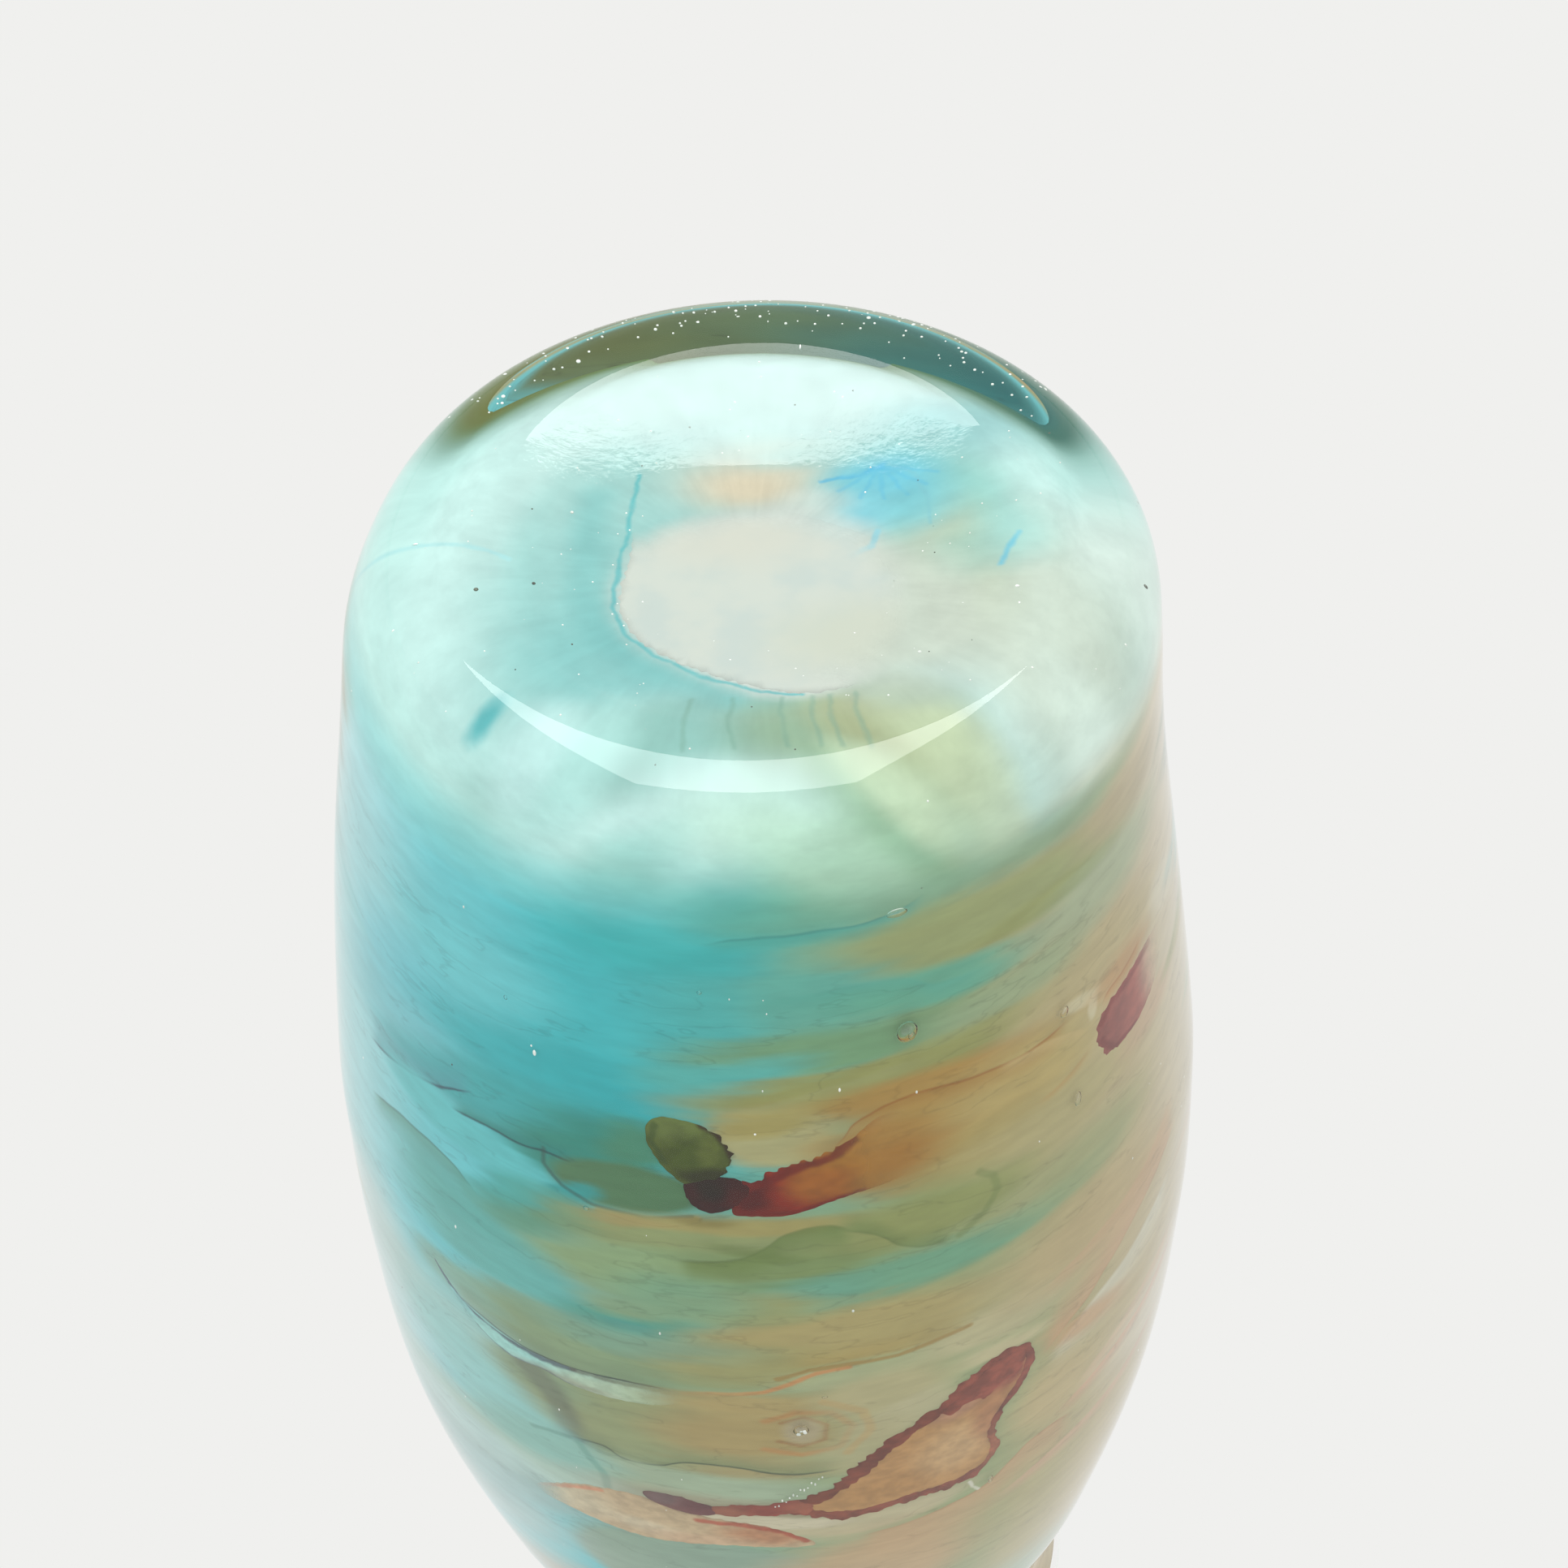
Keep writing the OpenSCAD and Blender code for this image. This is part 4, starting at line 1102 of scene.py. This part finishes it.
BUBBLES = [
    # azimuth, height, depth under the overlay's clear side, size
    (-20, 45, 1.3, (1.7, 2.1, 0.75)), (-20.4, 45.3, 2.4, (0.55, 0.9, 0.25)), (-18.7, 21.7, 1.3, (1.6, 0.8, 0.5)),
    (-2.7, 126, 1.3, (1.3, 1.3, 0.6)), (-45, 57, 1.2, (0.9, 1.2, 0.4)), (-46, 76, 1.2, (0.8, 1.6, 0.4)),
    (24, 80, 1.2, (0.5, 0.5, 0.3)), (-30, 155, 1.2, (0.5, 1.1, 0.4)), (8, 33, 1.4, (0.4, 0.4, 0.3)),
    (-6, 118, 1.2, (0.5, 0.3, 0.3)), (36, 44, 1.2, (0.35, 0.5, 0.3)), (150, 60, 1.3, (1.2, 1.5, 0.6)),
]
bubbles = [(on_wall(a, z, depth), size, facing(a)) for a, z, depth, size in BUBBLES]
keep(many_balls("bubbles", bubbles, glass, True), "clear_glass")

chance = random.Random(4)
seeds, grains = [], []
for k in range(14):
    # a row of specks beside the leaf's stem
    spot = on_wall(1.2 - 0.5 * k, 147.8 - 0.6 * k + 0.6 * math.sin(2.4 * k), 0.6)
    seeds.append((spot, (0.14, 0.18 + 0.1 * (k % 3), 0.14), facing(-6)))
for k in range(9):
    size = chance.uniform(0.16, 0.34)
    spot = on_wall(-2.7 + chance.uniform(-0.6, 0.6), 126 + chance.uniform(-0.7, 0.7), 2.2)
    seeds.append((spot, (size, size, 0.2), facing(-2.7)))
for k in range(150):
    azimuth, z = chance.uniform(-180, 180), chance.uniform(28, 235)
    size = chance.uniform(0.06, 0.2) * (1.8 if k % 12 == 0 else 1)
    where = on_wall(azimuth, z, chance.uniform(0.5, 2.6))
    spot = (where, (size, size * chance.uniform(1, 2.2), size), facing(azimuth))
    (grains if k % 9 == 0 else seeds).append(spot)
for k in range(170):
    a, r = chance.uniform(0, 2 * math.pi), chance.uniform(18, 56)
    z = chance.uniform(3, 9) if r < 48 else chance.uniform(9, 26)
    size = chance.uniform(0.05, 0.17) * (2 if k % 14 == 0 else 1)
    spot = (swayed(r * math.sin(a), -r * math.cos(a), z), (size, size, size), facing(math.degrees(a)))
    (grains if k % 6 == 0 else seeds).append(spot)
heel_curve = heel(0, 0, HEEL_W, HEEL_H, HEEL_POWER)
for k in range(130):
    a = chance.uniform(0.68, 1.32) * math.pi
    r, z = heel_curve[chance.randrange(2, 14)]
    depth, size = chance.uniform(0.8, 5), chance.uniform(0.1, 0.24) * (1.5 if k % 10 == 0 else 1)
    spot = swayed(r * math.sin(a), -r * math.cos(a), z + depth)
    seeds.append((spot, (size, size, size), facing(math.degrees(a))))
# white specks, partly dust and partly painted glints of tiny bubbles
keep(many_balls("seeds", seeds, dust_and_glint_material("seed_dust_and_glint", (236, 240, 234), (206, 214, 206)), False), "clear_glass")
keep(many_balls("grains", grains, dust_and_glint_material("dark_grain", (48, 52, 44), (88, 96, 80)), False), "clear_glass")


# ---------------------------------------------------------------- studio
def area_light(name, low, high, height, radiance):
    """A rectangular light over x, y ranges at a height, facing the vase."""
    light = bpy.data.lights.new(name, "AREA")
    light.shape = "RECTANGLE"
    light.size = high[0] - low[0]
    light.size_y = high[1] - low[1]
    light.energy = radiance * math.pi * light.size * light.size_y
    obj = bpy.data.objects.new(name, light)
    obj.location = ((low[0] + high[0]) / 2, (low[1] + high[1]) / 2, height)
    if height < 0:
        obj.rotation_euler = (math.pi, 0, 0)
    scene.collection.objects.link(obj)
    return obj


world = bpy.data.worlds.new("studio")
scene.world = world
world.use_nodes = True
background = world.node_tree.nodes["Background"]
background.inputs["Color"].default_value = rgb(240, 240, 238)
background.inputs["Strength"].default_value = 1.0
area_light("softbox", (-0.29, -0.3), (0.42, 0.74), -1.0, 4.3)
overhead = area_light("overhead", (-0.7, -0.9), (0.5, 0.3), 1.3, 0.9)
overhead.visible_glossy = overhead.visible_transmission = False


def card_material():
    """Pale paper that is only there from above."""
    material, n, shader = new_material("paper")
    place = place_nodes(n)[0]
    fibre = n.cloud(place, (0.2, 0.2, 0.2), 3.0)
    n.put(shader["Base Color"], n.mix(n.step(fibre, 0.3, 0.7), rgb(238, 238, 236), rgb(240, 240, 238)))
    shader["Roughness"].default_value = 0.9
    shader["Specular IOR Level"].default_value = 0
    behind = n.add("NewGeometry").outputs["Backfacing"]
    n.put(shader["Alpha"], n.math("SUBTRACT", 1.0, behind))
    return material


def stage_card(name, verts, faces, seen_by):
    """A card on the floor that only one kind of ray sees."""
    obj = bpy.data.objects.new(name, bpy.data.meshes.new(name))
    obj.data.from_pydata(verts, [], faces)
    obj.data.materials.append(paper)
    scene.collection.objects.link(obj)
    for ray in ("camera", "diffuse", "glossy", "transmission", "shadow"):
        setattr(obj, "visible_" + ray, ray == seen_by)


paper = card_material()
GAP, REACH = -0.0004, 3
floor = [(-REACH, -REACH, GAP), (REACH, -REACH, GAP), (REACH, REACH, GAP), (-REACH, REACH, GAP)]
stage_card("floor_card", floor, [(0, 1, 2, 3)], "camera")
# a ring round the foot, so that the wall mirrors the floor and not the softbox under it
STEPS = 64
turns = [k * math.pi * 2 / STEPS for k in range(STEPS)]
hoop = [(r * math.cos(a), r * math.sin(a), GAP) for r in (0.064, 4) for a in turns]
quads = [(k, STEPS + k, STEPS + (k + 1) % STEPS, (k + 1) % STEPS) for k in range(STEPS)]
stage_card("floor_mirrored", hoop, quads, "glossy")
